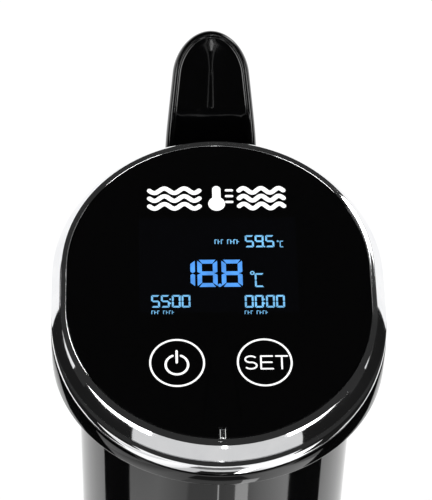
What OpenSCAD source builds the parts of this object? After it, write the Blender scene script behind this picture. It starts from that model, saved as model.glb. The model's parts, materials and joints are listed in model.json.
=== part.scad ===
// Sous vide circulator: a clip-on immersion heater and pump for a cooking pot.
// Frame: origin in the middle of the flat base, on the axis of the tube.
// +Z is up, the display faces -Y and the pot clip is on the +Y side. Millimetres.

/* [Base cap] */
// Outer radius of the base cap and of the steel sleeve
tube_r = 29; // [25:0.5:35]
// Height of the base cap's outer skirt
cap_h = 16; // [12:0.5:22]
// Wall of the base cap
cap_wall = 2.4; // [1.6:0.1:3.2]
// Width of the water slots in the cap and in the sleeve
slot_w = 3; // [2:0.1:3.6]
// Water slots round the base cap
cap_slots = 18; // [12:1:24]

/* [Steel sleeve] */
// Length of the stainless steel sleeve
sleeve_len = 150; // [120:1:200]
// Sheet thickness of the sleeve
sleeve_wall = 0.6; // [0.4:0.1:1]
// Outlet slots round the sleeve
sleeve_slots = 14; // [8:1:20]
// Length of an outlet slot
outlet_len = 20; // [12:1:28]

/* [Housing] */
// How far the housing stands out from the sleeve, all round
grip_step = 2.35; // [2:0.05:4]
// Length of the handle housing, from the collar to the head
housing_len = 184; // [180:1:230]
// Wall of the housing
housing_wall = 2.2; // [1.6:0.1:3]
// Height of the collar's outer flange
collar_h = 10; // [8:0.5:14]

/* [Head] */
// How far the head stands out from the housing at its sides
head_over = 5.65; // [5:0.05:9]
// How much deeper the head is than it is wide
head_stretch = 10.7; // [6:0.1:14]
// Wall of the head shell
head_wall = 2.4; // [1.8:0.1:3]
// Angle by which the face slopes down to the front
face_tilt = 7.6; // [0:0.1:9]
// Height of the face above the head's lower edge, at the middle
face_h = 15.9; // [14.5:0.1:24]
// Height of the flare under the head
flare_h = 12; // [8:0.5:14]

/* [Face] */
// Width of the bezel beside the glass
bezel_w = 3.45; // [3:0.05:5]
// Width of the bezel in front of the glass and behind it
bezel_front_w = 4; // [3.5:0.05:6]
// Thickness of the cover glass
glass_t = 1.6; // [1:0.1:2.4]
// Height of the round bezel
bezel_h = 3.5; // [3:0.1:5]
// Height of the trim band under the bezel
trim_h = 3; // [2:0.1:4]
// Width of the display window
display_w = 35; // [28:0.5:40]
// Depth of the display window, along the face
display_d = 25; // [20:0.5:30]
// Distance of the touch keys from the middle, sideways
key_x = 9.4; // [8:0.1:14]
// Distance of the touch keys in front of the face's middle
key_y = 19.4; // [17:0.1:24]
// Radius of a touch key's contact
key_r = 4.6; // [3:0.1:6]

/* [Pot clip] */
// Depth of the lever's pivot behind the housing
pivot_out = 14.65; // [13:0.05:18]
// Drop of the lever's pivot below the head
pivot_drop = 54; // [50:1:60]
// Radius of the hinge pin
pin_r = 2; // [1.5:0.1:2.5]
// Gap between the pin and the lever's bore, all round
pin_gap = 0.05; // [0.02:0.01:0.1]
// Width of the lever
lever_w = 22.4; // [18:0.2:27]
// Thickness of the lever
lever_t = 4.6; // [3.5:0.1:6]
// Reach of the thumb tip behind the pivot
tip_out = 32; // [28:0.5:36]
// Height of the thumb tip above the head's lower edge
tip_rise = 19.6; // [12:0.2:24]
// Length of the jaw below the pivot
jaw_len = 88; // [70:1:100]
// Gap between the two rubber pads with the clip shut
pad_gap = 1.5; // [1:0.1:3]
// Height of the rubber pads
pad_h = 34; // [24:1:40]
// Width of the rubber pads
pad_w = 18; // [14:0.5:20]
// Thickness of the rubber pad on the housing
body_pad_t = 3.2; // [2.5:0.1:4]
// Thickness of the rubber pad on the jaw
jaw_pad_t = 4; // [3:0.1:5]

/* [Cord inlet] */
// Radius of the hole for the mains cord
cord_hole_r = 3.6; // [3:0.1:4.5]
// Length of the cord gland's hole
gland_len = 16; // [14:0.5:20]
// Height of the cord gland below the head
gland_drop = 32; // [28:1:36]

/* [Heater and pump] */
// Radius of the heating tube
heater_r = 3.25; // [2.5:0.05:3.6]
// Half the distance between the two legs of a heater loop
heater_bend_r = 8; // [6:0.5:9]
// Gap between the heater loops and the sleeve
heater_gap = 7.15; // [6:0.05:8]
// Radius of the pump shaft
shaft_r = 2.5; // [2:0.1:3]
// Gap round the turning shafts
shaft_gap = 0.05; // [0.02:0.01:0.1]
// Radius of the motor
motor_r = 16; // [13:0.5:19.5]
// Length of the motor
motor_len = 40; // [30:1:44]
// Radius of the motor's own shaft
motor_shaft_r = 1.6; // [1.2:0.1:2]
// Radius of the impeller
impeller_r = 18; // [14:0.5:21]
// Blades on the impeller
impeller_blades = 6; // [4:1:8]
// Radius of the cooling fan
fan_r = 20; // [16:0.5:22]
// Blades on the cooling fan
fan_blades = 7; // [5:1:9]

/* [Hidden] */
$fn = 96;

big = 200;              // larger than any cross-section
over = 1;               // how far a cut runs past a face
seat_gap = 0.1;         // gap of a part that drops into a seat
slide_gap = 0.4;        // gap of the cap inside the sleeve
cap_gap = 0.3;          // gap under the sleeve's end, so that the cap turns freely

// Heights of the stack, from the base up
sleeve_z = cap_h + cap_gap;
collar_socket = 7;      // depth to which the sleeve enters the collar
collar_z = sleeve_z + sleeve_len - collar_socket;
housing_z = collar_z + collar_h;
rim_z = housing_z + housing_len;
spigot_h = 10;          // part of the collar inside the housing
grip_r = tube_r + grip_step;
housing_in_r = grip_r - housing_wall;
spigot_r = housing_in_r - seat_gap;
spigot_in_r = spigot_r - 3;
sleeve_in_r = tube_r - sleeve_wall;

// Bayonet of the base cap
lug_r = 1.5;
lug_gap = 0.3;
lug_z = sleeve_z + 5;
bayonet_turn = 22;      // degrees from locked to free
bayonet_room = 4;       // degrees of slot past each end of the turn
cap_spigot_r = sleeve_in_r - slide_gap;
cap_spigot_h = 10;
cap_edge_r = 2.5;        // round of the cap's lower edge
floor_slot = [0.62, 0.24];   // start and length of the floor slots, as parts of tube_r
skirt_slot_depth = 10;
skirt_slot_margin = 2.5; // solid wall above the floor and under the skirt's top

// Wet end
bulkhead_h = 9;
bulkhead_z = collar_z + collar_socket - bulkhead_h;
bulkhead_r = sleeve_in_r - seat_gap;
bearing_r = 7;
bearing_h = 5;
bearing_floor = 3;       // solid floor under the shaft seal
shaft_room = 0.6;        // free space round the shaft in the bulkhead
hub_r = 10;
hub_h = 7;
seal_h = 5;
seal_ring_r = 1.2;
seal_z = bulkhead_z + 4.5;
pump_z = cap_h + cap_spigot_h + 3;    // underside of the pump housing
pump_h = 16;
pump_wall = 2;
pump_r = sleeve_in_r - 1;
pump_top_t = 3;
impeller_z = pump_z + 3;
impeller_h = 8;
impeller_hub_r = 5;
impeller_disc_t = 1.5;
impeller_blade_t = 1.6;
impeller_floor = 2;      // solid end of the impeller's bore
tube_in_r = 5;
tube_out_r = 6.5;
bush_h = 8;
heater_low_z = pump_z + pump_h + heater_bend_r + heater_r + 4;
heater_off = sleeve_in_r - heater_gap - heater_r;
probe_r = 2.4;
probe_y = sleeve_in_r - 11.4;
probe_len = 84;
electrode_r = 1.2;
electrode_x = 4.5;
electrode_len = [92, 70];
probe_rise = 3;          // how far the probe stands out above the bulkhead
electrode_rise = 4;
terminal_r = 1.2;
terminal_h = 9;
heater_rise = 2;

// Drive
coupling_z = bulkhead_z + bulkhead_h + hub_h + 1;
coupling_h = 14;
coupling_r = 6;
coupling_slit = 1;
shaft_grip = [7, 6];     // depth of the pump shaft and of the motor shaft in the coupling
mount_z = coupling_z + coupling_h + 3;
mount_t = 4;
boss_r = 5;
wire_hole_x = 21;        // holes beside the motor for the heater's wires
wire_hole_r = 3.2;
motor_screw_off = motor_r * 0.6;
motor_screw_in = 3;      // how far the screws reach into the motor
motor_z = mount_z + mount_t;
fan_z = motor_z + motor_len + 8;
fan_h = 9;
fan_hub_r = 5;
fan_pitch = 38;          // lean of the fan's blades
fan_blade = [9, 1.2];    // width and thickness of a blade

// Electronics in the housing
board_z = fan_z + fan_h + 8;
board_edge_gap = 8.15;  // from the board's edge to the housing, at the board's middle plane
board_w = 2 * (housing_in_r - board_edge_gap);
board_t = 1.6;
board_y = -7;
board_h = rim_z - board_z - 21;
rail_x = board_w / 2;
rail_t = 2;
rail_d = 9;
rail_foot = 4;           // how far the rails and their ring reach under the board
frame_ring_w = 5;
board_front = board_y - board_t / 2;
board_back = board_y + board_t / 2;

// Parts on the power board: size along X, Y and Z, and height above its lower end
transformer_size = [20, 14, 18];
transformer_up = 6;
can_r = 5;
can_len = 12;
can_x = 7;
can_up = 36;
relay_size = [16, 12, 18];
relay_up = 48;
heatsink_size = [28, 14, 34];
heatsink_up = 22;
fin_gap = 3;             // free space between two fins
fin_root = 4;            // solid plate behind the fins
fin_gaps = 4;
triac_size = [10, 4.4, 15.9];
triac_up = 6;
fuse_r = 1.9;
fuse_len = 16;
fuse_up = 60;

// Head and face, both obrounds with their straight sides along Y
head_r = grip_r + head_over;
head_half = head_stretch / 2;
glass_r = head_r - bezel_w;
glass_half = head_half - (bezel_front_w - bezel_w);
glass_y = 0.35;          // the glass sits a little to the back of the face's middle
bezel_r = head_r - 0.2;  // outer radius of the bezel's bead
bezel_half = head_half - 0.2;
lip_w = 1.15;            // sloping lip between the glass and the bead
lip_drop = 0.38;
bead_foot = 0.3;         // height of the bead's lower edge above the trim band
bead_in = 0.3;           // the bead's lower edge turns in a little
bead_swell = 0.07;       // how much the bead's face bulges
bead_steps = 6;
bead_run = [bezel_r - glass_r - lip_w, lip_drop + bead_foot - bezel_h];
ledge_w = 2;             // ledge under the edge of the glass
tab_w = 1.5;             // locating tab at the front of the bezel
tab_l = 2.5;
floor_t = 2.5;
floor_hole_r = 20;
flare_in = 1.5;          // foot of the flare inside the head's side
flare_steps = 12;
display_y = 6;
display_t = 2.6;
gasket_t = 0.3;
gasket_w = 2;
buzzer_r = 6;
buzzer_h = 4.5;
buzzer_y = 21;
ribbon_w = 12;
ribbon_t = 1.2;
ribbon_in = 5;           // how far the ribbon runs down the power board
face_board_z = -6;       // top of the display board under the face
face_board_w = 2 * (head_r - 13);
face_board_d = 2 * (head_r + head_half - 14);
post_x = face_board_w / 2 - 4;
post_y = face_board_d / 2 - 8;
post_r = 2.6;
board_screw_r = 1;
board_screw_len = 3.2;
board_screw_head = [2, 1.2];  // radius and height

// Clip
pivot_y = grip_r + pivot_out;
pivot_z = rim_z - pivot_drop;
tip_y = pivot_y + tip_out;
tip_z = rim_z + tip_rise;
knuckle_r = 5.5;
spring_room = 8;         // space between the lever's two knuckles
ear_t = 3.5;
ear_gap = 0.4;           // gap between the lever and each ear
ear_x = lever_w / 2 + ear_gap;
ear_r = 8;
bracket_h = 30;
bracket_y = grip_r + 5;
spring_wire_r = 0.6;
spring_coil_r = 3.6;
spring_turns = 3;
spring_width = 4.4;      // from the middle of the first coil to the middle of the last
spring_leg = 15;
spring_sides = 8;
spring_rings = 64;
groove_turn = 15;        // lean of the lever's groove and of the leg that lies in it
groove_w = 2.2;
spring_from = 180 + 20;
spring_to = 360 * (spring_turns + 1) + groove_turn;
spring_stations = concat(
    [[spring_from, -spring_leg]],
    [for (i = [0:spring_rings]) [spring_from + (spring_to - spring_from) * i / spring_rings, 0]],
    [[spring_to, spring_leg]]
);

// Thumb lever: its middle line from the knuckle out to the tip, as [y, z], and the outline of its tongue
lever_curve = [
    [pivot_y + 1, pivot_z + 2], [pivot_y + 5, pivot_z + 30],
    [pivot_y + 10, pivot_z + 56], [tip_y + 3, tip_z + 3 - lever_t / 2]
];
lever_steps = 24;
tip_lean = 45;           // slope of the thumb end
tip_inset = 3.08;        // how much narrower each side is at the tip than at full width
tip_half = lever_w / 2 - tip_inset;
tip_depth = 10;          // depth of the round end
tip_taper = 0.11;        // widening of each side, per millimetre below the tip
tip_steps = 18;
tongue_len = 130;
rib_t = 3;               // stiffening rib behind the jaw
rib_d = 5;
rib_in = 20;             // height of the rib's lower end above the jaw's
jaw_face_y = grip_r + body_pad_t + pad_gap + jaw_pad_t;
pad_z = pivot_z - jaw_len + 2;
pad_grooves = 6;
groove_size = [1.2, 1.6];    // depth and height of a groove in the jaw pad

// Screws
screw_r = 1.25;
screw_head_r = 2.6;
screw_head_h = 1.8;
tower_r = 3.2;
tower_h = 20;
housing_screw_y = grip_r - 9.5;
housing_screw_heights = [housing_z + 15, board_z - 3, rim_z - 12];
head_screw_x = housing_in_r - tower_r + 0.8;
bracket_screw_x = 7;
bracket_screw_z = pivot_z - 10;
housing_screw_seat = 14; // where the housing screws' heads sit, from the joint of the halves
housing_screw_len = 26;
head_screw_len = 12;
bracket_screw_len = 9;
bracket_seat = 2.2;      // depth of the screw heads' seats in the bracket

// Cord gland
gland_r = 5.4;
gland_flange_r = 7.5;
gland_flange_t = 2;
gland_in = 7;            // how far the gland reaches into the housing from its outer face
gland_turn = 135;        // the cord leaves at the back left

// Corner points of an arc about a centre
function arc(centre_r, centre_z, radius, from, to, steps) = [
    for (i = [0:steps]) let (a = from + (to - from) * i / steps)
        [centre_r + radius * cos(a), centre_z + radius * sin(a)]
];

// Point and unit normal of a cubic Bezier curve in a plane
function bezier(p, t) =
    pow(1 - t, 3) * p[0] + 3 * t * pow(1 - t, 2) * p[1] + 3 * t * t * (1 - t) * p[2] + pow(t, 3) * p[3];
function bezier_slope(p, t) =
    3 * pow(1 - t, 2) * (p[1] - p[0]) + 6 * t * (1 - t) * (p[2] - p[1]) + 3 * t * t * (p[3] - p[2]);
function bezier_normal(p, t) =
    let (d = bezier_slope(p, t)) [d[1], -d[0]] / norm(d);

// One side of the lever's round end: an ellipse that also widens with the distance below the tip
function tip_point(turn) =
    let (depth = tip_depth * (1 - cos(turn))) [tip_half * sin(turn) + tip_taper * depth, -depth];

// The bead's face: nearly flat, with a slight bulge between the lip and the bead's lower edge
function bead_point(t) =
    let (out = [-bead_run[1], bead_run[0]] / norm(bead_run))
        [glass_r + lip_w, -lip_drop] + bead_run * t + out * 4 * bead_swell * t * (1 - t);

module stadium(radius, half) {
    translate([0, half]) circle(radius);
    translate([0, -half]) circle(radius);
    translate([-radius, -half]) square([2 * radius, 2 * half]);
}

module ring(outer, inner, height) {
    difference() {
        cylinder(r = outer, h = height);
        translate([0, 0, -over]) cylinder(r = inner, h = height + 2 * over);
    }
}

// A frame whose XY plane is the sloping face
module on_face() {
    translate([0, 0, rim_z + face_h]) rotate([face_tilt, 0, 0]) children();
}

// Everything between two depths under the face
module face_slab(low, high) {
    on_face() translate([-big / 2, -big / 2, low]) cube([big, big, high - low]);
}

// A profile of radius and height carried round an obround
module around_stadium(half) {
    translate([0, half, 0]) rotate_extrude(angle = 180) children();
    translate([0, -half, 0]) rotate([0, 0, 180]) rotate_extrude(angle = 180) children();
    translate([0, half, 0]) rotate([90, 0, 0]) linear_extrude(2 * half) children();
    translate([0, -half, 0]) rotate([90, 0, 180]) linear_extrude(2 * half) children();
}

module screw(length) {
    cylinder(r = screw_head_r, h = screw_head_h);
    translate([0, 0, -length]) cylinder(r = screw_r, h = length + screw_head_h / 2);
}

// ---------- wet end ----------

module base_cap() {
    color("#1b1b1d")
    difference() {
        union() {
            rotate_extrude() polygon(concat(
                [[0, 0]],
                arc(tube_r - cap_edge_r, cap_edge_r, cap_edge_r, -90, 0, 8),
                [[tube_r, cap_h], [0, cap_h]]
            ));
            cylinder(r = cap_spigot_r, h = cap_h + cap_spigot_h);
        }
        translate([0, 0, cap_wall]) cylinder(r = cap_spigot_r - cap_wall, h = big);
        for (i = [0:cap_slots - 1]) rotate([0, 0, (i + 0.5) * 360 / cap_slots]) {
            translate([tube_r * floor_slot[0], -slot_w / 2, -over])
                cube([tube_r * floor_slot[1], slot_w, cap_wall + 2 * over]);
            translate([tube_r - skirt_slot_depth + 2 * over, -slot_w / 2, cap_wall + skirt_slot_margin])
                cube([skirt_slot_depth, slot_w, cap_h - cap_wall - 2 * skirt_slot_margin - over]);
        }
        for (side = [0, 180]) rotate([0, 0, side]) translate([0, 0, lug_z]) rotate([0, 90, 0])
            translate([0, 0, cap_spigot_r - cap_wall - over]) cylinder(r = lug_r, h = 10);
    }
}

module cap_lugs() {
    color("#b9bcc0")
    for (side = [0, 180]) rotate([0, 0, side]) translate([0, 0, lug_z]) rotate([0, 90, 0])
        translate([0, 0, cap_spigot_r - cap_wall])
            cylinder(r = lug_r, h = cap_wall + slide_gap + sleeve_wall - seat_gap);
}

module steel_sleeve() {
    color("#c3c6c9")
    difference() {
        translate([0, 0, sleeve_z]) ring(tube_r, sleeve_in_r, sleeve_len);
        for (i = [0:sleeve_slots - 1]) rotate([0, 0, (i + 0.5) * 360 / sleeve_slots])
            translate([0, -slot_w / 2, pump_z + 1]) cube([tube_r + over, slot_w, outlet_len]);
        for (side = [0, 180]) rotate([0, 0, side]) {
            // run of the bayonet, then its way out of the sleeve's end
            translate([0, 0, lug_z - lug_r - lug_gap]) rotate([0, 0, -bayonet_room])
                rotate_extrude(angle = bayonet_turn + 2 * bayonet_room) translate([sleeve_in_r - over, 0])
                    square([sleeve_wall + 2 * over, 2 * (lug_r + lug_gap)]);
            rotate([0, 0, bayonet_turn]) translate([0, -lug_r - lug_gap, sleeve_z - over])
                cube([tube_r + over, 2 * (lug_r + lug_gap), lug_z - sleeve_z + over]);
        }
    }
}

module pump_housing() {
    color("#2b2c2f")
    difference() {
        translate([0, 0, pump_z]) cylinder(r = pump_r, h = pump_h);
        translate([0, 0, pump_z - over]) cylinder(r = pump_r - pump_wall, h = pump_h - pump_top_t + over);
        translate([0, 0, pump_z]) cylinder(r = tube_in_r, h = pump_h + over);
        for (i = [0:sleeve_slots - 1]) rotate([0, 0, (i + 0.5) * 360 / sleeve_slots])
            translate([pump_r / 2, -slot_w / 2, pump_z + 2]) cube([big, slot_w, pump_h - 6]);
    }
}

module impeller() {
    color("#e6e6e2")
    translate([0, 0, impeller_z]) difference() {
        union() {
            cylinder(r = impeller_hub_r, h = impeller_h);
            translate([0, 0, impeller_h - impeller_disc_t]) cylinder(r = impeller_r, h = impeller_disc_t);
            for (i = [0:impeller_blades - 1]) rotate([0, 0, i * 360 / impeller_blades])
                translate([impeller_hub_r - over, -impeller_blade_t / 2, 0])
                    cube([impeller_r - impeller_hub_r + over / 2, impeller_blade_t, impeller_h - over]);
        }
        translate([0, 0, impeller_floor]) cylinder(r = shaft_r, h = impeller_h);
    }
}

module pump_shaft() {
    color("#d0d2d4")
    translate([0, 0, impeller_z + impeller_floor])
        cylinder(r = shaft_r, h = coupling_z + shaft_grip[0] - impeller_z - impeller_floor);
}

module shaft_tube() {
    color("#c9ccce")
    translate([0, 0, pump_z + pump_h]) ring(tube_out_r, tube_in_r, bulkhead_z - pump_z - pump_h);
}

module lower_bush() {
    color("#d8c9a0")
    translate([0, 0, pump_z + pump_h - pump_top_t]) ring(tube_in_r, shaft_r + shaft_gap, bush_h);
}

// A hairpin heating tube: two legs and a half-round bend, with a terminal rod on each leg
module heater_loop(side) {
    translate([side * heater_off, 0, 0]) {
        for (leg = [-1, 1]) translate([0, leg * heater_bend_r, 0]) {
            translate([0, 0, heater_low_z])
                cylinder(r = heater_r, h = bulkhead_z + bulkhead_h + heater_rise - heater_low_z);
            translate([0, 0, bulkhead_z + bulkhead_h]) cylinder(r = terminal_r, h = terminal_h);
        }
        translate([0, 0, heater_low_z]) rotate([0, 90, 0]) rotate([0, 0, -90])
            rotate_extrude(angle = 180) translate([heater_bend_r, 0]) circle(heater_r);
    }
}

module heater_loop_left() {
    color("#9a8f86") heater_loop(-1);
}

module heater_loop_right() {
    color("#9a8f86") heater_loop(1);
}

module temperature_probe() {
    color("#c9ccce")
    translate([0, probe_y, bulkhead_z - probe_len]) {
        cylinder(r = probe_r, h = probe_len + bulkhead_h + probe_rise);
        sphere(r = probe_r);
    }
}

module level_electrodes() {
    color("#c9ccce")
    for (i = [0, 1]) translate([(2 * i - 1) * electrode_x, -probe_y, bulkhead_z - electrode_len[i]])
        cylinder(r = electrode_r, h = electrode_len[i] + bulkhead_h + electrode_rise);
}

module bulkhead() {
    color("#3a3b3e")
    difference() {
        union() {
            translate([0, 0, bulkhead_z]) cylinder(r = bulkhead_r, h = bulkhead_h);
            translate([0, 0, bulkhead_z]) cylinder(r = hub_r, h = bulkhead_h + hub_h);
        }
        translate([0, 0, bulkhead_z - over]) cylinder(r = shaft_r + shaft_room, h = big);
        translate([0, 0, bulkhead_z + bearing_floor]) cylinder(r = bearing_r, h = big);
        translate([0, 0, seal_z - seal_ring_r]) ring(tube_r, bulkhead_r - 2 * seal_ring_r, 2 * seal_ring_r);
        for (side = [-1, 1]) for (leg = [-1, 1])
            translate([side * heater_off, leg * heater_bend_r, bulkhead_z - over])
                cylinder(r = heater_r, h = big);
        translate([0, probe_y, bulkhead_z - over]) cylinder(r = probe_r, h = big);
        for (side = [-1, 1]) translate([side * electrode_x, -probe_y, bulkhead_z - over])
            cylinder(r = electrode_r, h = big);
    }
}

module sleeve_seal() {
    color("#7a1f1a")
    translate([0, 0, seal_z]) rotate_extrude() translate([bulkhead_r - seal_ring_r, 0])
        circle(seal_ring_r - seat_gap / 2);
}

module shaft_seal() {
    color("#18181a")
    translate([0, 0, bulkhead_z + bearing_floor]) ring(bearing_r, shaft_r + shaft_gap, seal_h);
}

module upper_bearing() {
    color("#d0d2d4")
    translate([0, 0, bulkhead_z + bearing_floor + seal_h + 1])
        ring(bearing_r, shaft_r + shaft_gap, bearing_h);
}

module collar() {
    color("#202124")
    difference() {
        union() {
            translate([0, 0, collar_z]) cylinder(r = grip_r, h = collar_h);
            translate([0, 0, collar_z]) cylinder(r = spigot_r, h = collar_h + spigot_h);
        }
        translate([0, 0, collar_z - over]) cylinder(r = tube_r + seat_gap / 2, h = collar_socket + over);
        translate([0, 0, collar_z]) cylinder(r = spigot_in_r, h = big);
    }
}

// ---------- drive ----------

module shaft_coupling() {
    color("#8c9093")
    translate([0, 0, coupling_z]) difference() {
        cylinder(r = coupling_r, h = coupling_h);
        translate([0, 0, -over]) cylinder(r = shaft_r, h = shaft_grip[0] + over);
        translate([0, 0, coupling_h - shaft_grip[1]]) cylinder(r = motor_shaft_r, h = big);
        translate([-coupling_slit / 2, 0, 2]) cube([coupling_slit, coupling_r + over, coupling_h - 4]);
    }
}

module motor_mount() {
    color("#3a3b3e")
    translate([0, 0, mount_z]) difference() {
        cylinder(r = housing_in_r - seat_gap, h = mount_t);
        translate([0, 0, -over]) cylinder(r = boss_r + seat_gap, h = big);
        for (side = [-1, 1]) {
            translate([side * motor_screw_off, 0, -over]) cylinder(r = screw_r + seat_gap, h = big);
            translate([side * wire_hole_x, 0, -over]) cylinder(r = wire_hole_r, h = big);
        }
        translate([0, housing_screw_y, -over]) translate([-big / 2, -5, 0]) cube([big, big, big]);
    }
}

module motor_screws() {
    color("#b9bcc0")
    for (side = [-1, 1]) translate([side * motor_screw_off, 0, mount_z]) rotate([180, 0, 0])
        screw(mount_t + motor_screw_in);
}

module motor() {
    color("#a7abae")
    difference() {
        union() {
            translate([0, 0, motor_z]) rotate_extrude() polygon([
                [0, 0], [motor_r - 1, 0], [motor_r, 1], [motor_r, motor_len - 2], [motor_r - 2, motor_len],
                [0, motor_len]
            ]);
            translate([0, 0, mount_z]) cylinder(r = boss_r, h = mount_t + over);
            translate([0, 0, motor_z + motor_len - over]) cylinder(r = boss_r, h = 3 + over);
        }
        translate([0, 0, mount_z - over]) cylinder(r = motor_shaft_r + shaft_gap, h = big);
        for (side = [-1, 1]) translate([side * motor_screw_off, 0, mount_z])
            cylinder(r = screw_r, h = mount_t + motor_screw_in);
    }
}

module motor_shaft() {
    color("#d0d2d4")
    translate([0, 0, coupling_z + coupling_h - shaft_grip[1]])
        cylinder(r = motor_shaft_r, h = fan_z + fan_h - coupling_z - coupling_h + shaft_grip[1]);
}

module cooling_fan() {
    color("#2b2c2f")
    translate([0, 0, fan_z]) difference() {
        union() {
            cylinder(r = fan_hub_r, h = fan_h);
            for (i = [0:fan_blades - 1]) rotate([0, 0, i * 360 / fan_blades])
                translate([fan_hub_r - over, 0, fan_h / 2]) rotate([fan_pitch, 0, 0])
                    translate([0, -fan_blade[0] / 2, -fan_blade[1] / 2])
                        cube([fan_r - fan_hub_r, fan_blade[0], fan_blade[1]]);
        }
        translate([0, 0, -over]) cylinder(r = motor_shaft_r, h = big);
    }
}

// ---------- electronics ----------

module inner_frame() {
    color("#6d7074")
    difference() {
        union() {
            intersection() {
                translate([0, 0, board_z - rail_foot])
                    ring(housing_in_r - seat_gap, housing_in_r - frame_ring_w, rail_foot);
                translate([-big / 2, -big, 0]) cube([big, big + housing_screw_y - 5, 3 * big]);
            }
            for (side = [-1, 1])
                translate([side * (rail_x + 1) - rail_t - 1, board_y - rail_foot, board_z - rail_foot])
                    cube([2 * rail_t + 2, rail_d, board_h + rail_foot]);
        }
        translate([-board_w / 2, board_front, board_z]) cube([board_w, board_t, big]);
    }
}

module power_board() {
    color("#1f5c3a")
    translate([-board_w / 2, board_front, board_z]) cube([board_w, board_t, board_h]);
}

// A box on the front of the power board
module front_part(size, up) {
    translate([-size[0] / 2, board_front - size[1], board_z + up]) cube(size);
}

module transformer() {
    color("#c9a227") front_part(transformer_size, transformer_up);
}

module capacitors() {
    color("#27313d")
    for (side = [-1, 1]) translate([side * can_x, board_front, board_z + can_up]) rotate([90, 0, 0])
        cylinder(r = can_r, h = can_len);
}

module relay() {
    color("#2a5fa8") front_part(relay_size, relay_up);
}

module heatsink() {
    fin_t = (heatsink_size[0] - fin_gaps * fin_gap) / (fin_gaps + 1);
    color("#b5b9bc")
    translate([-heatsink_size[0] / 2, board_back, board_z + heatsink_up]) difference() {
        cube(heatsink_size);
        for (i = [0:fin_gaps - 1]) translate([fin_t + i * (fin_t + fin_gap), fin_root, -over])
            cube([fin_gap, heatsink_size[1], heatsink_size[2] + 2 * over]);
    }
}

module triac() {
    color("#18181a")
    translate([-triac_size[0] / 2, board_back, board_z + triac_up]) cube(triac_size);
}

module thermal_fuse() {
    color("#d8c9a0")
    translate([-fuse_len / 2, board_back + fuse_r + seat_gap, board_z + fuse_up]) rotate([0, 90, 0])
        cylinder(r = fuse_r, h = fuse_len);
}

// ---------- housing ----------

module housing_half(side) {
    difference() {
        intersection() {
            union() {
                translate([0, 0, housing_z]) ring(grip_r, housing_in_r, housing_len);
                for (z = housing_screw_heights) translate([-grip_r, housing_screw_y, z]) rotate([0, 90, 0])
                    cylinder(r = tower_r, h = 2 * grip_r);
                for (x = [-1, 1]) translate([x * head_screw_x, 0, rim_z - tower_h])
                    cylinder(r = tower_r, h = tower_h);
            }
            translate([0, 0, housing_z]) cylinder(r = grip_r, h = housing_len);
            translate([side > 0 ? 0 : -big, -big / 2, 0]) cube([big, big, 3 * big]);
        }
        for (z = housing_screw_heights) translate([0, housing_screw_y, z]) rotate([0, 90, 0]) {
            translate([0, 0, -housing_screw_seat]) cylinder(r = screw_r, h = big);
            translate([0, 0, housing_screw_seat]) cylinder(r = screw_head_r + 2 * seat_gap, h = big);
        }
        for (x = [-1, 1]) translate([x * head_screw_x, 0, rim_z - head_screw_len])
            cylinder(r = screw_r, h = big);
        for (x = [-1, 1]) translate([x * bracket_screw_x, 0, bracket_screw_z]) rotate([-90, 0, 0])
            cylinder(r = screw_r, h = big);
        gland_place() translate([0, 0, -over]) cylinder(r = gland_r, h = big);
    }
}

module housing_left() {
    color("#0c0c0e") housing_half(-1);
}

module housing_right() {
    color("#0c0c0e") housing_half(1);
}

module housing_screws() {
    color("#b9bcc0")
    for (z = housing_screw_heights) translate([housing_screw_seat, housing_screw_y, z]) rotate([0, 90, 0])
        screw(housing_screw_len);
}

// Square to the housing, where the cord leaves it
module gland_place() {
    rotate([0, 0, gland_turn]) translate([0, 0, rim_z - gland_drop]) rotate([0, 90, 0])
        translate([0, 0, grip_r - gland_in]) children();
}

module cord_gland() {
    color("#18181a")
    gland_place() difference() {
        union() {
            cylinder(r = gland_r, h = gland_len);
            difference() {
                translate([0, 0, gland_in - 2]) cylinder(r = gland_flange_r, h = gland_flange_t + 2);
                translate([gland_drop - rim_z, 0, gland_in - grip_r]) rotate([0, 90, 0])
                    cylinder(r = grip_r, h = 2 * rim_z);
            }
        }
        translate([0, 0, -over]) cylinder(r = cord_hole_r, h = big);
    }
}

// ---------- head ----------

module head_shell() {
    color("#0c0c0e")
    difference() {
        union() {
            translate([0, 0, rim_z]) linear_extrude(big / 4) stadium(head_r, head_half);
            translate([0, 0, rim_z]) around_stadium(head_half) polygon(concat(
                [[0, 0], [head_r - flare_in, 0]],
                [for (i = [1:flare_steps]) let (a = i * 90 / flare_steps)
                    [head_r - flare_in - (head_r - flare_in - grip_r + head_half + over) * sin(a),
                        -flare_h * (1 - cos(a))]],
                [[0, -flare_h]]
            ));
        }
        face_slab(-bezel_h - trim_h, big);
        translate([0, 0, rim_z + floor_t]) linear_extrude(big) stadium(head_r - head_wall, head_half);
        translate([0, 0, rim_z - flare_h - over]) cylinder(r = grip_r + seat_gap / 2, h = flare_h + over);
        translate([0, 0, rim_z - over]) cylinder(r = floor_hole_r, h = big);
        for (x = [-1, 1]) translate([x * head_screw_x, 0, rim_z - over])
            cylinder(r = screw_r + seat_gap, h = big);
    }
    color("#0c0c0e")
    difference() {
        for (x = [-1, 1]) for (y = [-1, 1]) translate([x * post_x, y * post_y, rim_z + floor_t / 2])
            cylinder(r = post_r, h = big / 4);
        face_slab(face_board_z - board_t, big);
        for (x = [-1, 1]) for (y = [-1, 1]) on_face()
            translate([x * post_x, y * post_y, face_board_z - board_screw_len])
                cylinder(r = board_screw_r, h = big);
    }
}

module head_screws() {
    color("#b9bcc0")
    for (x = [-1, 1]) translate([x * head_screw_x, 0, rim_z + floor_t]) screw(head_screw_len);
}

module trim_band() {
    color("#d9dcde")
    intersection() {
        translate([0, 0, rim_z]) linear_extrude(big / 4) difference() {
            stadium(head_r - seat_gap, head_half - seat_gap);
            stadium(head_r - head_wall, head_half);
        }
        face_slab(-bezel_h - trim_h, -bezel_h);
    }
}

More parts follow.
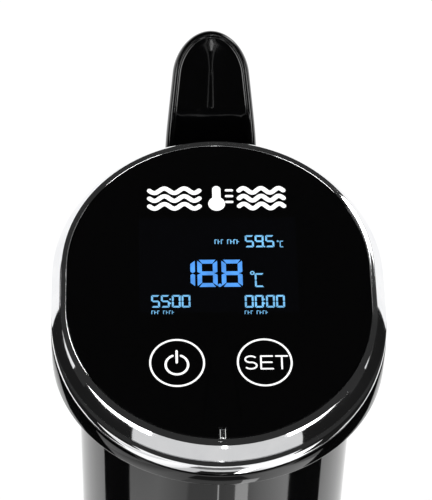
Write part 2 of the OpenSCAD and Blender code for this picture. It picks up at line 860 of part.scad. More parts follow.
module bezel_ring() {
    color("#d9dcde")
    on_face() translate([0, glass_y / 2, 0]) {
        difference() {
            around_stadium(bezel_half) polygon(concat(
                [[glass_r - ledge_w, -bezel_h], [glass_r - ledge_w, 0], [glass_r + 0.1, 0]],
                [for (i = [0:bead_steps]) bead_point(i / bead_steps)],
                [[bezel_r - bead_in, -bezel_h]]
            ));
            translate([0, 0, -glass_t]) linear_extrude(big) stadium(glass_r, glass_half);
            translate([0, 0, -bezel_h - over]) linear_extrude(big) stadium(glass_r - ledge_w, glass_half);
        }
        translate([-tab_w / 2, -glass_half - glass_r, -glass_t - 1]) cube([tab_w, tab_l, glass_t + 1]);
    }
}

module cover_glass() {
    color("#050506")
    on_face() translate([0, glass_y / 2, 0]) difference() {
        translate([0, 0, -glass_t]) linear_extrude(glass_t) stadium(glass_r - seat_gap, glass_half);
        translate([-tab_w / 2 - seat_gap, -glass_half - glass_r - over, -glass_t - over])
            cube([tab_w + 2 * seat_gap, tab_l + over + seat_gap, glass_t + 2 * over]);
    }
}

module display_gasket() {
    color("#303134")
    on_face() translate([0, display_y, -glass_t - gasket_t]) linear_extrude(gasket_t) difference() {
        square([display_w + 2 * gasket_w, display_d + 2 * gasket_w], center = true);
        square([display_w, display_d], center = true);
    }
}

module display_module() {
    color("#10131c")
    on_face() translate([0, display_y, -glass_t - gasket_t - display_t]) linear_extrude(display_t)
        square([display_w + 2 * gasket_w, display_d + 2 * gasket_w], center = true);
}

module display_board() {
    color("#1f5c3a")
    on_face() translate([0, 0, face_board_z - board_t]) linear_extrude(board_t) difference() {
        intersection() {
            square([face_board_w, face_board_d], center = true);
            stadium(head_r - head_wall - 3.5, head_half);
        }
        for (x = [-1, 1]) for (y = [-1, 1]) translate([x * post_x, y * post_y])
            circle(board_screw_r + 2 * seat_gap);
    }
}

module board_screws() {
    color("#b9bcc0")
    for (x = [-1, 1]) for (y = [-1, 1]) on_face() translate([x * post_x, y * post_y, face_board_z]) {
        cylinder(r = board_screw_head[0], h = board_screw_head[1]);
        translate([0, 0, -board_screw_len]) cylinder(r = board_screw_r, h = board_screw_len + over / 2);
    }
}

module touch_contacts() {
    color("#5a5c60")
    for (side = [-1, 1]) on_face() translate([side * key_x, -key_y, face_board_z])
        cylinder(r = key_r, h = -face_board_z - glass_t);
}

module buzzer() {
    color("#18181a")
    on_face() translate([0, buzzer_y, face_board_z - board_t - buzzer_h])
        cylinder(r = buzzer_r, h = buzzer_h);
}

// Flat cable from the display board down to the power board
module ribbon_cable() {
    color("#c7c9cc")
    difference() {
        translate([-ribbon_w / 2, board_front - ribbon_t, board_z + board_h - ribbon_in])
            cube([ribbon_w, ribbon_t, big / 2]);
        face_slab(face_board_z - board_t, big);
    }
}

// ---------- pot clip ----------

module clip_bracket() {
    color("#18181a")
    difference() {
        union() {
            translate([-ear_x - ear_t, 0, pivot_z - bracket_h / 2])
                cube([2 * (ear_x + ear_t), bracket_y, bracket_h]);
            for (side = [-1, 1]) translate([side * (ear_x + ear_t / 2) - ear_t / 2, 0, 0]) {
                translate([0, 0, pivot_z - ear_r]) cube([ear_t, pivot_y, 2 * ear_r]);
                translate([0, pivot_y, pivot_z]) rotate([0, 90, 0]) cylinder(r = ear_r, h = ear_t);
            }
        }
        cylinder(r = grip_r, h = 3 * big);
        translate([-big / 2, -big, 0]) cube([big, big + grip_r * 0.6, 3 * big]);
        translate([-big / 2, pivot_y, pivot_z]) rotate([0, 90, 0]) cylinder(r = pin_r, h = big);
        for (x = [-1, 1]) translate([x * bracket_screw_x, 0, bracket_screw_z]) rotate([-90, 0, 0])
            cylinder(r = screw_r, h = big);
        for (x = [-1, 1]) translate([x * bracket_screw_x, bracket_y - bracket_seat, bracket_screw_z])
            rotate([-90, 0, 0]) cylinder(r = screw_head_r + seat_gap, h = big);
    }
}

module bracket_screws() {
    color("#b9bcc0")
    for (x = [-1, 1]) translate([x * bracket_screw_x, bracket_y - bracket_seat, bracket_screw_z])
        rotate([-90, 0, 0]) screw(bracket_screw_len);
}

module hinge_pin() {
    color("#d0d2d4")
    translate([-ear_x - ear_t, pivot_y, pivot_z]) rotate([0, 90, 0])
        cylinder(r = pin_r, h = 2 * (ear_x + ear_t));
}

module lever_profile() {
    polygon(concat(
        [for (i = [0:lever_steps]) let (t = i / lever_steps)
            bezier(lever_curve, t) + bezier_normal(lever_curve, t) * lever_t / 2],
        [for (i = [lever_steps:-1:0]) let (t = i / lever_steps)
            bezier(lever_curve, t) - bezier_normal(lever_curve, t) * lever_t / 2]
    ));
}

// Seen square to its thumb end the lever is a tongue that widens from its round end to full width
module lever_outline() {
    for (side = [0, 1]) mirror([side, 0]) polygon(concat(
        [for (i = [0:tip_steps]) tip_point(i * 90 / tip_steps)],
        [[lever_w / 2, -tip_inset / tip_taper], [lever_w / 2, -tongue_len], [-over, -tongue_len]]
    ));
}

module clip_lever() {
    color("#0c0c0e")
    difference() {
        union() {
            intersection() {
                rotate([90, 0, 90]) translate([0, 0, -lever_w / 2]) linear_extrude(lever_w) lever_profile();
                translate([0, tip_y, tip_z]) rotate([tip_lean, 0, 0]) translate([0, 0, -60])
                    linear_extrude(120) lever_outline();
            }
            translate([-lever_w / 2, pivot_y, pivot_z]) rotate([0, 90, 0])
                cylinder(r = knuckle_r, h = lever_w);
            translate([-pad_w / 2 - 1, jaw_face_y, pivot_z - jaw_len]) cube([pad_w + 2, lever_t, jaw_len]);
            translate([-rib_t / 2, jaw_face_y + lever_t - over, pivot_z - jaw_len + rib_in])
                cube([rib_t, rib_d, jaw_len - rib_in - knuckle_r - over / 2]);
        }
        translate([-big / 2, pivot_y, pivot_z]) rotate([0, 90, 0]) cylinder(r = pin_r + pin_gap, h = big);
        translate([-spring_room / 2, pivot_y, pivot_z]) rotate([0, 90, 0])
            cylinder(r = knuckle_r + spring_wire_r, h = spring_room);
        translate([spring_width / 2 - groove_w / 2, pivot_y, pivot_z]) rotate([groove_turn, 0, 0])
            translate([0, -2 * knuckle_r, 0])
                cube([groove_w, 2 * knuckle_r + spring_coil_r + over, spring_leg + over]);
    }
}

// Torsion spring: close coils round the pin, and a straight leg at each end that leaves the coil
// along its tangent. One leg leans on the bracket and the other lies in the lever's groove.
function spring_x(angle) = ((angle - spring_from) / (spring_to - spring_from) - 0.5) * spring_width;
function spring_at(angle, along) = [
    spring_x(angle),
    spring_coil_r * cos(angle) - along * sin(angle),
    spring_coil_r * sin(angle) + along * cos(angle)
];

module clip_spring() {
    last = len(spring_stations) - 1;
    color("#c9ccce")
    translate([0, pivot_y, pivot_z]) polyhedron(
        points = [for (s = spring_stations) for (k = [0:spring_sides - 1])
            let (a = k * 360 / spring_sides)
                spring_at(s[0], s[1]) + spring_wire_r * [sin(a), cos(a) * cos(s[0]), cos(a) * sin(s[0])]],
        faces = concat(
            [[for (k = [0:spring_sides - 1]) k]],
            [for (i = [0:last - 1]) for (k = [0:spring_sides - 1]) let (n = (k + 1) % spring_sides)
                [i * spring_sides + n, i * spring_sides + k, (i + 1) * spring_sides + k,
                    (i + 1) * spring_sides + n]],
            [[for (k = [spring_sides - 1:-1:0]) last * spring_sides + k]]
        )
    );
}

module jaw_pad() {
    color("#2c2d30")
    difference() {
        translate([-pad_w / 2, jaw_face_y - jaw_pad_t, pad_z]) cube([pad_w, jaw_pad_t, pad_h]);
        for (i = [1:pad_grooves]) let (z = pad_z + i * pad_h / (pad_grooves + 1) - groove_size[1] / 2)
            translate([-pad_w, jaw_face_y - jaw_pad_t - over, z])
                cube([2 * pad_w, over + groove_size[0], groove_size[1]]);
    }
}

module body_pad() {
    color("#2c2d30")
    difference() {
        translate([-pad_w / 2, 0, pad_z]) cube([pad_w, grip_r + body_pad_t, pad_h]);
        cylinder(r = grip_r, h = 3 * big);
    }
}

base_cap();
cap_lugs();
steel_sleeve();
pump_housing();
impeller();
pump_shaft();
shaft_tube();
lower_bush();
heater_loop_left();
heater_loop_right();
temperature_probe();
level_electrodes();
bulkhead();
sleeve_seal();
shaft_seal();
upper_bearing();
collar();
shaft_coupling();
motor_mount();
motor_screws();
motor();
motor_shaft();
cooling_fan();
inner_frame();
power_board();
transformer();
capacitors();
relay();
heatsink();
triac();
thermal_fuse();
housing_left();
housing_right();
housing_screws();
cord_gland();
head_shell();
head_screws();
trim_band();
bezel_ring();
cover_glass();
display_module();
display_gasket();
display_board();
board_screws();
touch_contacts();
buzzer();
ribbon_cable();
clip_bracket();
bracket_screws();
hinge_pin();
clip_lever();
clip_spring();
jaw_pad();
body_pad();
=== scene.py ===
import json
import math

import bmesh
import bpy
import numpy as np
from mathutils import Matrix, Vector


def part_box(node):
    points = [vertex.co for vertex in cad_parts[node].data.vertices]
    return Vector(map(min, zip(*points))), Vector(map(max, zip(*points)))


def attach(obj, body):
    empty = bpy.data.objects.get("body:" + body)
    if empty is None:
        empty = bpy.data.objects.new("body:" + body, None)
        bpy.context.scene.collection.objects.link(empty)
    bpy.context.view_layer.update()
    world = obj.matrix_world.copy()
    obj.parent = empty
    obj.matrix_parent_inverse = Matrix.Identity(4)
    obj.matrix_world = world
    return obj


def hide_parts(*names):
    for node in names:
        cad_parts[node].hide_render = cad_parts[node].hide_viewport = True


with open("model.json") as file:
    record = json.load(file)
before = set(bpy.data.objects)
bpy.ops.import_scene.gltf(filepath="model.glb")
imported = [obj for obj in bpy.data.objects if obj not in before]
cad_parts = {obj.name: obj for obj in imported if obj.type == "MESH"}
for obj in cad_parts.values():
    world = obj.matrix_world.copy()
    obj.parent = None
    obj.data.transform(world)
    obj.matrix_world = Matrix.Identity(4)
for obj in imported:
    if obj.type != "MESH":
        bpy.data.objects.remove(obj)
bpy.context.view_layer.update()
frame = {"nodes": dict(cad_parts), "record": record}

# ---------- sizes in millimetres ----------

MM = 0.001
NODES = frame["nodes"]
BODY_OF = {n: b for b, ns in frame["record"]["behaviour"]["bodies"].items() for n in ns}


def box_mm(node):
    """Lowest and highest corner of a CAD node, in millimetres."""
    low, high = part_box(node)
    return np.array(low) / MM, np.array(high) / MM


HOUSING_LOW, HOUSING_HIGH = box_mm("housing_left")
GRIP_R = HOUSING_HIGH[1]
HOUSING_Z, RIM_Z = HOUSING_LOW[2], HOUSING_HIGH[2]
HOUSING_WALL = 2.2
HOUSING_SCREW_Y = GRIP_R - 9.5
HOUSING_SCREW_Z = (HOUSING_Z + 15, 257.3, RIM_Z - 12)
GLAND_Z = RIM_Z - 32
HEAD_R = box_mm("head_shell")[1][0]
HEAD_HALF = box_mm("head_shell")[1][1] - HEAD_R
HEAD_WALL = 2.4
FACE_TILT = math.radians(7.6)
FACE_H = 15.9
BEZEL_H = 3.5
TRIM_H = 3.0
BAND_LOW = -BEZEL_H - TRIM_H
GLASS_T = 1.6
GLASS_GAP = 0.1
GLASS_R = box_mm("cover_glass")[1][0] + GLASS_GAP
GLASS_HALF = HEAD_HALF - 0.55
GLASS_Y = 0.175
GLASS_FRONT = -GLASS_HALF - GLASS_R
SLEEVE_LOW, SLEEVE_HIGH = box_mm("steel_sleeve")
TUBE_R = SLEEVE_HIGH[0]
COLLAR_Z = box_mm("collar")[0][2]
PIN_LOW, PIN_HIGH = box_mm("hinge_pin")
PIVOT_Y, PIVOT_Z = (PIN_LOW[1] + PIN_HIGH[1]) / 2, (PIN_LOW[2] + PIN_HIGH[2]) / 2
PIN_R = (PIN_HIGH[1] - PIN_LOW[1]) / 2
LEVER_LOW, LEVER_HIGH = box_mm("clip_lever")
LEVER_HALF = LEVER_HIGH[0]
LEVER_T = 4.6
ARM_BACK = 44.65
KNUCKLE_R = 5.5
# Directions of a surface's own axes when its Z lies along X, and when its Z points to the front
ALONG_X = ((0, 1, 0), (0, 0, 1), (1, 0, 0))
TO_FRONT = ((1, 0, 0), (0, 0, 1), (0, -1, 0))


# ---------- surfaces ----------


def grid(points, close_u=False, close_v=False, cap_ends=False):
    """Quads between the points P[u, v] of a surface; a closed direction joins its last row to its first.
    cap_ends closes the first and last rows, which are rings in v, with a flat face each."""
    n, m = points.shape[:2]
    index = np.arange(n * m).reshape(n, m)
    if close_u:
        index = np.vstack([index, index[:1]])
    if close_v:
        index = np.hstack([index, index[:, :1]])
    quads = np.stack([index[:-1, :-1], index[1:, :-1], index[1:, 1:], index[:-1, 1:]], -1)
    faces = quads.reshape(-1, 4).tolist()
    if cap_ends:
        faces += [index[0, :m].tolist(), index[n - 1, :m][::-1].tolist()]
    return points.reshape(-1, 3), faces


def together(*surfaces):
    """Several (points, faces) pairs as one."""
    points, faces, start = [], [], 0
    for p, f in surfaces:
        points.append(np.asarray(p, float))
        faces += [[i + start for i in face] for face in f]
        start += len(p)
    return np.concatenate(points), faces


def rounded(points, cut, steps=5):
    """A closed outline with each corner p turned by the curve (1-s)^2 a + 2s(1-s) p + s^2 b, where a and b lie on
    the two edges at the cut's distance from p, and at most 0.45 of the edge."""
    p = np.asarray(points, float)
    cut = np.broadcast_to(np.asarray(cut, float), (len(p),))
    before, after = np.roll(p, 1, 0) - p, np.roll(p, -1, 0) - p
    lb, la = np.linalg.norm(before, axis=1), np.linalg.norm(after, axis=1)
    a = p + before * (np.minimum(cut, 0.45 * lb) / lb)[:, None]
    b = p + after * (np.minimum(cut, 0.45 * la) / la)[:, None]
    s = np.linspace(0, 1, steps)[None, :, None]
    turned = (1 - s) ** 2 * a[:, None] + 2 * s * (1 - s) * p[:, None] + s**2 * b[:, None]
    return turned.reshape(-1, p.shape[1])


def swept(profile, angles):
    """Points of a profile of (radius, height) at each angle about Z: (r cos a, r sin a, h)."""
    profile = np.asarray(profile, float)
    r, h = profile[:, :1], profile[:, 1:2]
    return np.stack([r * np.cos(angles), r * np.sin(angles), h + 0 * angles], -1)


def lathe(profile, count=96, closed=True):
    """A profile turned about Z; a closed one makes a ring with no ends."""
    return grid(swept(profile, np.linspace(0, 2 * np.pi, count, endpoint=False)), close_u=closed, close_v=True)


def wrapped(flat, radius, height):
    """Points (angle in degrees, ...) laid round Z at their radius and height."""
    a = np.radians(flat[:, 0])
    return np.stack([radius * np.cos(a), radius * np.sin(a), height], -1)


def obround(arc_count=64, side_count=6):
    """Angle a and end sign e of the points round an obround: (r cos a, e * half + r sin a), with e from -1 to 1
    along the straight sides."""
    arc = np.linspace(0, np.pi, arc_count + 1)
    side = np.linspace(-1, 1, side_count + 1)[1:-1]
    angle = np.concatenate([arc - np.pi, 0 * side, arc, 0 * side + np.pi])
    end = np.concatenate([0 * arc - 1, side, 0 * arc + 1, -side])
    return angle, end


ANGLE, END = obround()


def ring(r, half, height):
    """One obround ring of radius r and straight half-length half; height is a number or a function of y."""
    x = r * np.cos(ANGLE) + 0 * END
    y = END * half + r * np.sin(ANGLE)
    z = height(y) if callable(height) else height + 0 * y
    return np.stack([x, y, z], -1)


def around(profile):
    """A closed profile of (radius, half, height) carried round the obround."""
    return grid(np.stack([ring(*row) for row in profile]), close_u=True, close_v=True)


def slab(outline, low, high, edge=0.0, steps=3):
    """A flat outline given thickness from low to high along Z; each edge is turned by a quarter circle of radius
    edge, for which the outline moves in along its own normals."""
    o = np.asarray(outline, float)
    tangent = np.roll(o, -1, 0) - np.roll(o, 1, 0)
    inward = np.stack([-tangent[:, 1], tangent[:, 0]], -1)
    inward /= np.linalg.norm(inward, axis=1)[:, None]
    turning = np.sum(o[:, 0] * np.roll(o[:, 1], -1) - np.roll(o[:, 0], -1) * o[:, 1])
    inward *= np.sign(turning)
    a = np.linspace(0, np.pi / 2, steps) if edge else np.array([0.0])
    rise, inset = edge * (1 - np.sin(a)), edge * (1 - np.cos(a))
    levels = [(i, low + h) for i, h in zip(inset[::-1], rise[::-1])]
    levels += [(i, high - h) for i, h in zip(inset, rise)]
    rings = [np.column_stack([o + inward * i, np.full(len(o), z)]) for i, z in levels]
    return grid(np.stack(rings), close_v=True, cap_ends=True)


def placed(surface, origin, x_axis, y_axis, z_axis):
    """A surface moved so that its own axes lie along the three given directions from the origin."""
    points, faces = surface
    return np.asarray(origin, float) + points @ np.array([x_axis, y_axis, z_axis], float), faces


def on_face(surface):
    """A surface whose XY plane becomes the sloping top face of the head."""
    c, s = math.cos(FACE_TILT), math.sin(FACE_TILT)
    return placed(surface, (0, 0, RIM_Z + FACE_H), (1, 0, 0), (0, c, s), (0, -s, c))


def face_plane(depth):
    """Height above the base of the plane that lies at that depth from the face, as a function of y."""
    return lambda y: RIM_Z + FACE_H + (depth + math.sin(FACE_TILT) * y) / math.cos(FACE_TILT)


def pierced(u_lines, v_lines, holes, gaps=(), rings=3):
    """A flat grid on two parameters with openings. Each hole is (u0, u1, v0, v1, outline): the quads of that cell
    are left out, and rings of quads run from its border to the outline, which takes the border's own coordinates
    scaled to the square from -1 to 1. A gap is a cell that is only left out."""
    u, v = np.asarray(u_lines), np.asarray(v_lines)
    uu, vv = np.meshgrid(u, v, indexing="ij")
    points = [np.stack([uu.ravel(), vv.ravel()], -1)]
    index = np.arange(uu.size).reshape(uu.shape)
    keep = np.ones((len(u) - 1, len(v) - 1), bool)
    mid_u, mid_v = (u[1:] + u[:-1]) / 2, (v[1:] + v[:-1]) / 2
    for cell in [h[:4] for h in holes] + list(gaps):
        inside = (mid_u > cell[0]) & (mid_u < cell[1])
        keep &= ~(inside[:, None] & ((mid_v > cell[2]) & (mid_v < cell[3]))[None, :])
    quads = np.stack([index[:-1, :-1], index[1:, :-1], index[1:, 1:], index[:-1, 1:]], -1)
    faces = quads[keep].tolist()
    start = uu.size
    for u0, u1, v0, v1, outline in holes:
        i0, i1 = np.argmin(abs(u - u0)), np.argmin(abs(u - u1))
        j0, j1 = np.argmin(abs(v - v0)), np.argmin(abs(v - v1))
        border = np.concatenate([
            index[i0:i1, j0], index[i1, j0:j1], index[i1:i0:-1, j1], index[i0, j1:j0:-1]
        ])
        edge = points[0][border]
        a = (edge[:, 0] - (u0 + u1) / 2) / ((u1 - u0) / 2)
        b = (edge[:, 1] - (v0 + v1) / 2) / ((v1 - v0) / 2)
        hole = np.stack(outline(a, b), -1)
        s = np.linspace(0, 1, rings + 1)[1:, None, None]
        points.append((edge + s * (hole - edge)).reshape(-1, 2))
        count = len(border)
        rows = np.vstack([border, start + np.arange(rings * count).reshape(rings, count)])
        rows = np.hstack([rows, rows[:, :1]])
        quads = np.stack([rows[:-1, :-1], rows[:-1, 1:], rows[1:, 1:], rows[1:, :-1]], -1)
        faces += quads.reshape(-1, 4).tolist()
        start += rings * count
    return np.concatenate(points), faces


def slot_outline(a, b, half_w, half_l):
    """The border of the square laid on a slot with round ends: its sides stay straight and its ends become arcs."""
    on_end = np.abs(b) > 1 - 1e-6
    across = np.where(on_end, half_w * np.sin(a * np.pi / 2), half_w * a)
    along = np.where(
        on_end, np.sign(b) * (half_l - half_w + half_w * np.cos(a * np.pi / 2)), b * (half_l - half_w)
    )
    return across, along


def circle_outline(a, b, radius):
    """The border of the square laid on a circle, each point in its own direction from the middle."""
    phi = np.arctan2(b, a)
    return radius * np.cos(phi), radius * np.sin(phi)


def lines(start, stop, count, spans):
    """count + 1 even lines, replaced inside each span (low, high, steps) by that span's own lines."""
    base = np.linspace(start, stop, count + 1)
    for low, high, steps in spans:
        base = base[(base < low - 1e-9) | (base > high + 1e-9)]
        base = np.concatenate([base, np.linspace(low, high, steps + 1)])
    return np.unique(np.round(base, 9))


# ---------- pieces ----------


def added(name, mesh):
    """A new object of the scene."""
    made = bpy.data.objects.new(name, mesh)
    bpy.context.scene.collection.objects.link(made)
    return made


def piece(name, surface, material, stands_for=None, body="housing", smooth=35.0, weld=1e-6):
    """Makes a piece from points in millimetres, for the CAD node that it stands for: doubles merged, faces outward,
    shading smooth up to an angle."""
    points, faces = surface
    mesh = bpy.data.meshes.new(name)
    mesh.from_pydata((np.asarray(points) * MM).tolist(), [], faces)
    work = bmesh.new()
    work.from_mesh(mesh)
    bmesh.ops.remove_doubles(work, verts=work.verts, dist=weld)
    bmesh.ops.dissolve_degenerate(work, edges=work.edges, dist=1e-7)
    bmesh.ops.recalc_face_normals(work, faces=work.faces)
    work.to_mesh(mesh)
    work.free()
    mesh.shade_smooth()
    mesh.set_sharp_from_angle(angle=math.radians(smooth))
    mesh.materials.append(material)
    made = added(name, mesh)
    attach(made, body)
    if stands_for:
        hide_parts(stands_for)
    return made


def add_wall(made, thickness):
    """Gives an open skin its wall, inward from the outer face."""
    wall = made.modifiers.new("wall", "SOLIDIFY")
    wall.thickness = thickness * MM
    wall.offset = -1
    wall.use_even_offset = True


def add_bevel(made, width):
    """Breaks the sharp edges of a piece."""
    bevel = made.modifiers.new("edge", "BEVEL")
    bevel.width = width * MM
    bevel.segments = 2
    bevel.limit_method = "ANGLE"
    bevel.angle_limit = math.radians(35)
    bevel.harden_normals = False


def finished_copy(name, edge):
    """A copy of a CAD node with its loose triangles merged into flat faces and its edges broken."""
    slot = NODES[name].material_slots[0].name
    mesh = NODES[name].data.copy()
    mesh.name = name + "_finish"
    if "custom_normal" in mesh.attributes:
        mesh.attributes.remove(mesh.attributes["custom_normal"])
    work = bmesh.new()
    work.from_mesh(mesh)
    bmesh.ops.remove_doubles(work, verts=work.verts, dist=2e-6)
    bmesh.ops.dissolve_limit(
        work, angle_limit=math.radians(0.6), verts=work.verts, edges=work.edges, use_dissolve_boundaries=False)
    work.to_mesh(mesh)
    work.free()
    mesh.shade_smooth()
    mesh.set_sharp_from_angle(angle=math.radians(30))
    mesh.materials.clear()
    mesh.materials.append(FINISH[slot])
    made = added(mesh.name, mesh)
    if edge:
        add_bevel(made, edge)
    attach(made, BODY_OF[name])
    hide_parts(name)


# ---------- materials ----------


def shader(name, colour, roughness, metallic=0.0, **sockets):
    """A Principled material with its constants on the shader's own sockets."""
    material = bpy.data.materials.new(name)
    material.use_nodes = True
    bsdf = material.node_tree.nodes["Principled BSDF"]
    bsdf.inputs["Base Color"].default_value = (*colour, 1.0)
    bsdf.inputs["Roughness"].default_value = roughness
    bsdf.inputs["Metallic"].default_value = metallic
    for key, value in sockets.items():
        bsdf.inputs[key.replace("_", " ")].default_value = value
    return material


def node(material, kind, **sockets):
    """A new shader node of a material, with values for its input sockets."""
    made = material.node_tree.nodes.new("ShaderNode" + kind)
    for key, value in sockets.items():
        made.inputs[key.replace("_", " ")].default_value = value
    return made


def link(material, source, target, socket):
    """Joins an output to an input socket; the target None is the material's own shader."""
    target = target or material.node_tree.nodes["Principled BSDF"]
    material.node_tree.links.new(source, target.inputs[socket])


def coordinates(material, pattern):
    """Feeds a pattern with the piece's own coordinates."""
    link(material, node(material, "TexCoord").outputs["Object"], pattern, "Vector")


def noise(material, scale, detail=3.0, stretch=(1, 1, 1), roughness=0.5):
    """A noise pattern on the piece's own coordinates; scale counts features in a metre."""
    mapping = node(material, "Mapping", Scale=stretch)
    pattern = node(material, "TexNoise", Scale=scale, Detail=detail, Roughness=roughness)
    coordinates(material, mapping)
    link(material, mapping.outputs["Vector"], pattern, "Vector")
    return pattern.outputs["Fac"]


def spread(material, pattern, low, high, from_low=0.3, from_high=0.7):
    """Maps a pattern to the range from low to high."""
    made = node(material, "MapRange", From_Min=from_low, From_Max=from_high, To_Min=low, To_Max=high)
    link(material, pattern, made, "Value")
    return made.outputs["Result"]


def vary_roughness(material, pattern, low, high):
    """The surface is smoother and rougher by turns."""
    link(material, spread(material, pattern, low, high), None, "Roughness")


def vary_colour(material, pattern, dark, light, from_low=0.3, from_high=0.7):
    """The colour moves between two shades."""
    mix = node(material, "Mix")
    mix.data_type = "RGBA"
    mix.inputs["A"].default_value = (*dark, 1.0)
    mix.inputs["B"].default_value = (*light, 1.0)
    link(material, spread(material, pattern, 0.0, 1.0, from_low, from_high), mix, "Factor")
    link(material, mix.outputs["Result"], None, "Base Color")


def relief(material, pattern, depth, strength):
    """A fine relief of that depth in millimetres."""
    bump = node(material, "Bump", Strength=strength, Distance=depth * MM)
    link(material, pattern, bump, "Height")
    link(material, bump.outputs["Normal"], None, "Normal")


# For each slot: the material's name, its colour, roughness, metallic share and index of refraction, then two shades
# with the scale and detail of the noise between them, two roughnesses with theirs, and the relief's depth in
# millimetres and its strength with theirs. Turned steel adds how far its marks are stretched round the axis.
FINISHES = {
    "black_gloss": (
        "gloss_black_plastic", (0.0006, 0.0006, 0.0007), 0.06, 0, 1.5,
        ((0.0004, 0.0004, 0.0005), (0.001, 0.001, 0.0012), 260, 5), (0.035, 0.075, 90, 4), (0.0015, 0.5, 1600, 2)),
    "black_matte": (
        "satin_black_plastic", (0.012, 0.012, 0.013), 0.42, 0, 1.5,
        ((0.008, 0.008, 0.009), (0.018, 0.018, 0.0195), 420, 4), (0.34, 0.52, 700, 3), (0.02, 0.6, 3800, 2)),
    "grey_plastic": (
        "grey_moulded_plastic", (0.13, 0.14, 0.15), 0.5, 0, 1.48,
        ((0.11, 0.118, 0.126), (0.16, 0.168, 0.178), 300, 4), (0.42, 0.6, 500, 3), (0.015, 0.5, 3000, 2)),
    "chrome": (
        "polished_chrome", (0.86, 0.865, 0.875), 0.06, 1, 1.5,
        ((0.83, 0.835, 0.85), (0.89, 0.893, 0.9), 180, 4), (0.035, 0.085, 120, 5), (0.0025, 0.6, 240, 2)),
    "cover_glass": (
        "black_cover_glass", (0.0004, 0.0004, 0.0005), 0.02, 0, 1.5,
        ((0.0003, 0.0003, 0.0004), (0.0007, 0.0007, 0.0008), 900, 2), (0.012, 0.03, 140, 6), None),
    "display_glass": (
        "display_window", (0.0008, 0.0009, 0.0014), 0.03, 0, 1.5,
        ((0.0006, 0.0007, 0.0011), (0.0012, 0.0013, 0.002), 2500, 1), (0.02, 0.04, 160, 4), None),
    "steel_plain": (
        "turned_steel", (0.58, 0.58, 0.585), 0.24, 1, 1.5,
        ((0.5, 0.5, 0.505), (0.64, 0.64, 0.645), 500, 4), (0.16, 0.34, 900, 3, (1, 1, 12)),
        (0.004, 0.5, 1400, 2, (1, 1, 8))),
    "heater_sheath": (
        "heater_sheath", (0.36, 0.32, 0.28), 0.38, 1, 1.5,
        ((0.26, 0.23, 0.21), (0.46, 0.41, 0.35), 70, 6), (0.28, 0.5, 300, 5), (0.01, 0.5, 1500, 3)),
    "zinc_screw": (
        "zinc_plate", (0.52, 0.53, 0.55), 0.3, 1, 1.5,
        ((0.44, 0.45, 0.46), (0.6, 0.61, 0.64), 800, 5), (0.22, 0.42, 1200, 3), None),
    "aluminium": (
        "aluminium", (0.62, 0.63, 0.64), 0.42, 1, 1.5,
        ((0.55, 0.56, 0.57), (0.68, 0.69, 0.7), 600, 5), (0.34, 0.54, 1500, 3), (0.015, 0.5, 2600, 2)),
    "blue_case": (
        "blue_case", (0.02, 0.1, 0.36), 0.4, 0, 1.48,
        ((0.015, 0.085, 0.31), (0.03, 0.13, 0.42), 400, 4), (0.3, 0.5, 800, 3), None),
    "white_plastic": (
        "white_plastic", (0.75, 0.75, 0.72), 0.45, 0, 1.48,
        ((0.7, 0.7, 0.665), (0.79, 0.79, 0.765), 260, 4), (0.36, 0.55, 700, 3), (0.012, 0.5, 2600, 2)),
    "bearing_bronze": (
        "sintered_bronze", (0.5, 0.36, 0.17), 0.46, 0.9, 1.5,
        ((0.38, 0.26, 0.11), (0.6, 0.44, 0.22), 1800, 5), (0.36, 0.6, 2400, 3), (0.02, 0.6, 4200, 2)),
    "rubber_black": (
        "black_rubber", (0.02, 0.02, 0.021), 0.75, 0, 1.45,
        ((0.014, 0.014, 0.015), (0.036, 0.036, 0.038), 240, 6), (0.62, 0.88, 900, 4), (0.03, 0.6, 2600, 3)),
    "rubber_red": (
        "red_rubber", (0.2, 0.02, 0.015), 0.6, 0, 1.42,
        ((0.15, 0.013, 0.01), (0.26, 0.03, 0.022), 500, 5), (0.5, 0.7, 1200, 3), None),
}


def plain_finish(name, colour, roughness, metallic, ior, shades, gloss, grain):
    """One material of the table above."""
    material = shader(name, colour, roughness, metallic, IOR=ior)
    vary_colour(material, noise(material, *shades[2:]), *shades[:2])
    vary_roughness(material, noise(material, *gloss[2:]), *gloss[:2])
    if grain:
        relief(material, noise(material, *grain[2:]), *grain[:2])
    return material


def white_print_painted_glow():
    """White screen print, a little uneven in thickness, given a painted glow: its emission brightens it beyond the
    light that falls on it.
    """
    # painted glow: the emission makes the print shine though it is no lamp
    material = shader(
        "white_print_painted_glow", (0.9, 0.9, 0.9), 0.45, IOR=1.45, Emission_Color=(1, 1, 1, 1), Emission_Strength=0.35)
    vary_colour(material, noise(material, 1500, 3), (0.86, 0.86, 0.86), (0.93, 0.93, 0.93))
    return material


def lit_segment(name, colour):
    """A lit display segment, dimmer in spots."""
    material = shader(name, (0.01, 0.02, 0.04), 0.5, Emission_Color=(*colour, 1.0))
    link(material, spread(material, noise(material, 330, 2), 0.72, 1.12), None, "Emission Strength")
    return material


def brushed_steel():
    """Stainless sheet brushed round the tube: fine streaks that run round it, and faint water marks."""
    material = shader("brushed_steel", (0.6, 0.605, 0.61), 0.3, 1.0)
    streaks = noise(material, 300, 6, (1, 1, 40), 0.65)
    vary_colour(material, streaks, (0.5, 0.505, 0.51), (0.66, 0.665, 0.67))
    vary_roughness(material, noise(material, 60, 5, (1, 1, 14)), 0.2, 0.38)
    relief(material, streaks, 0.006, 0.7)
    return material


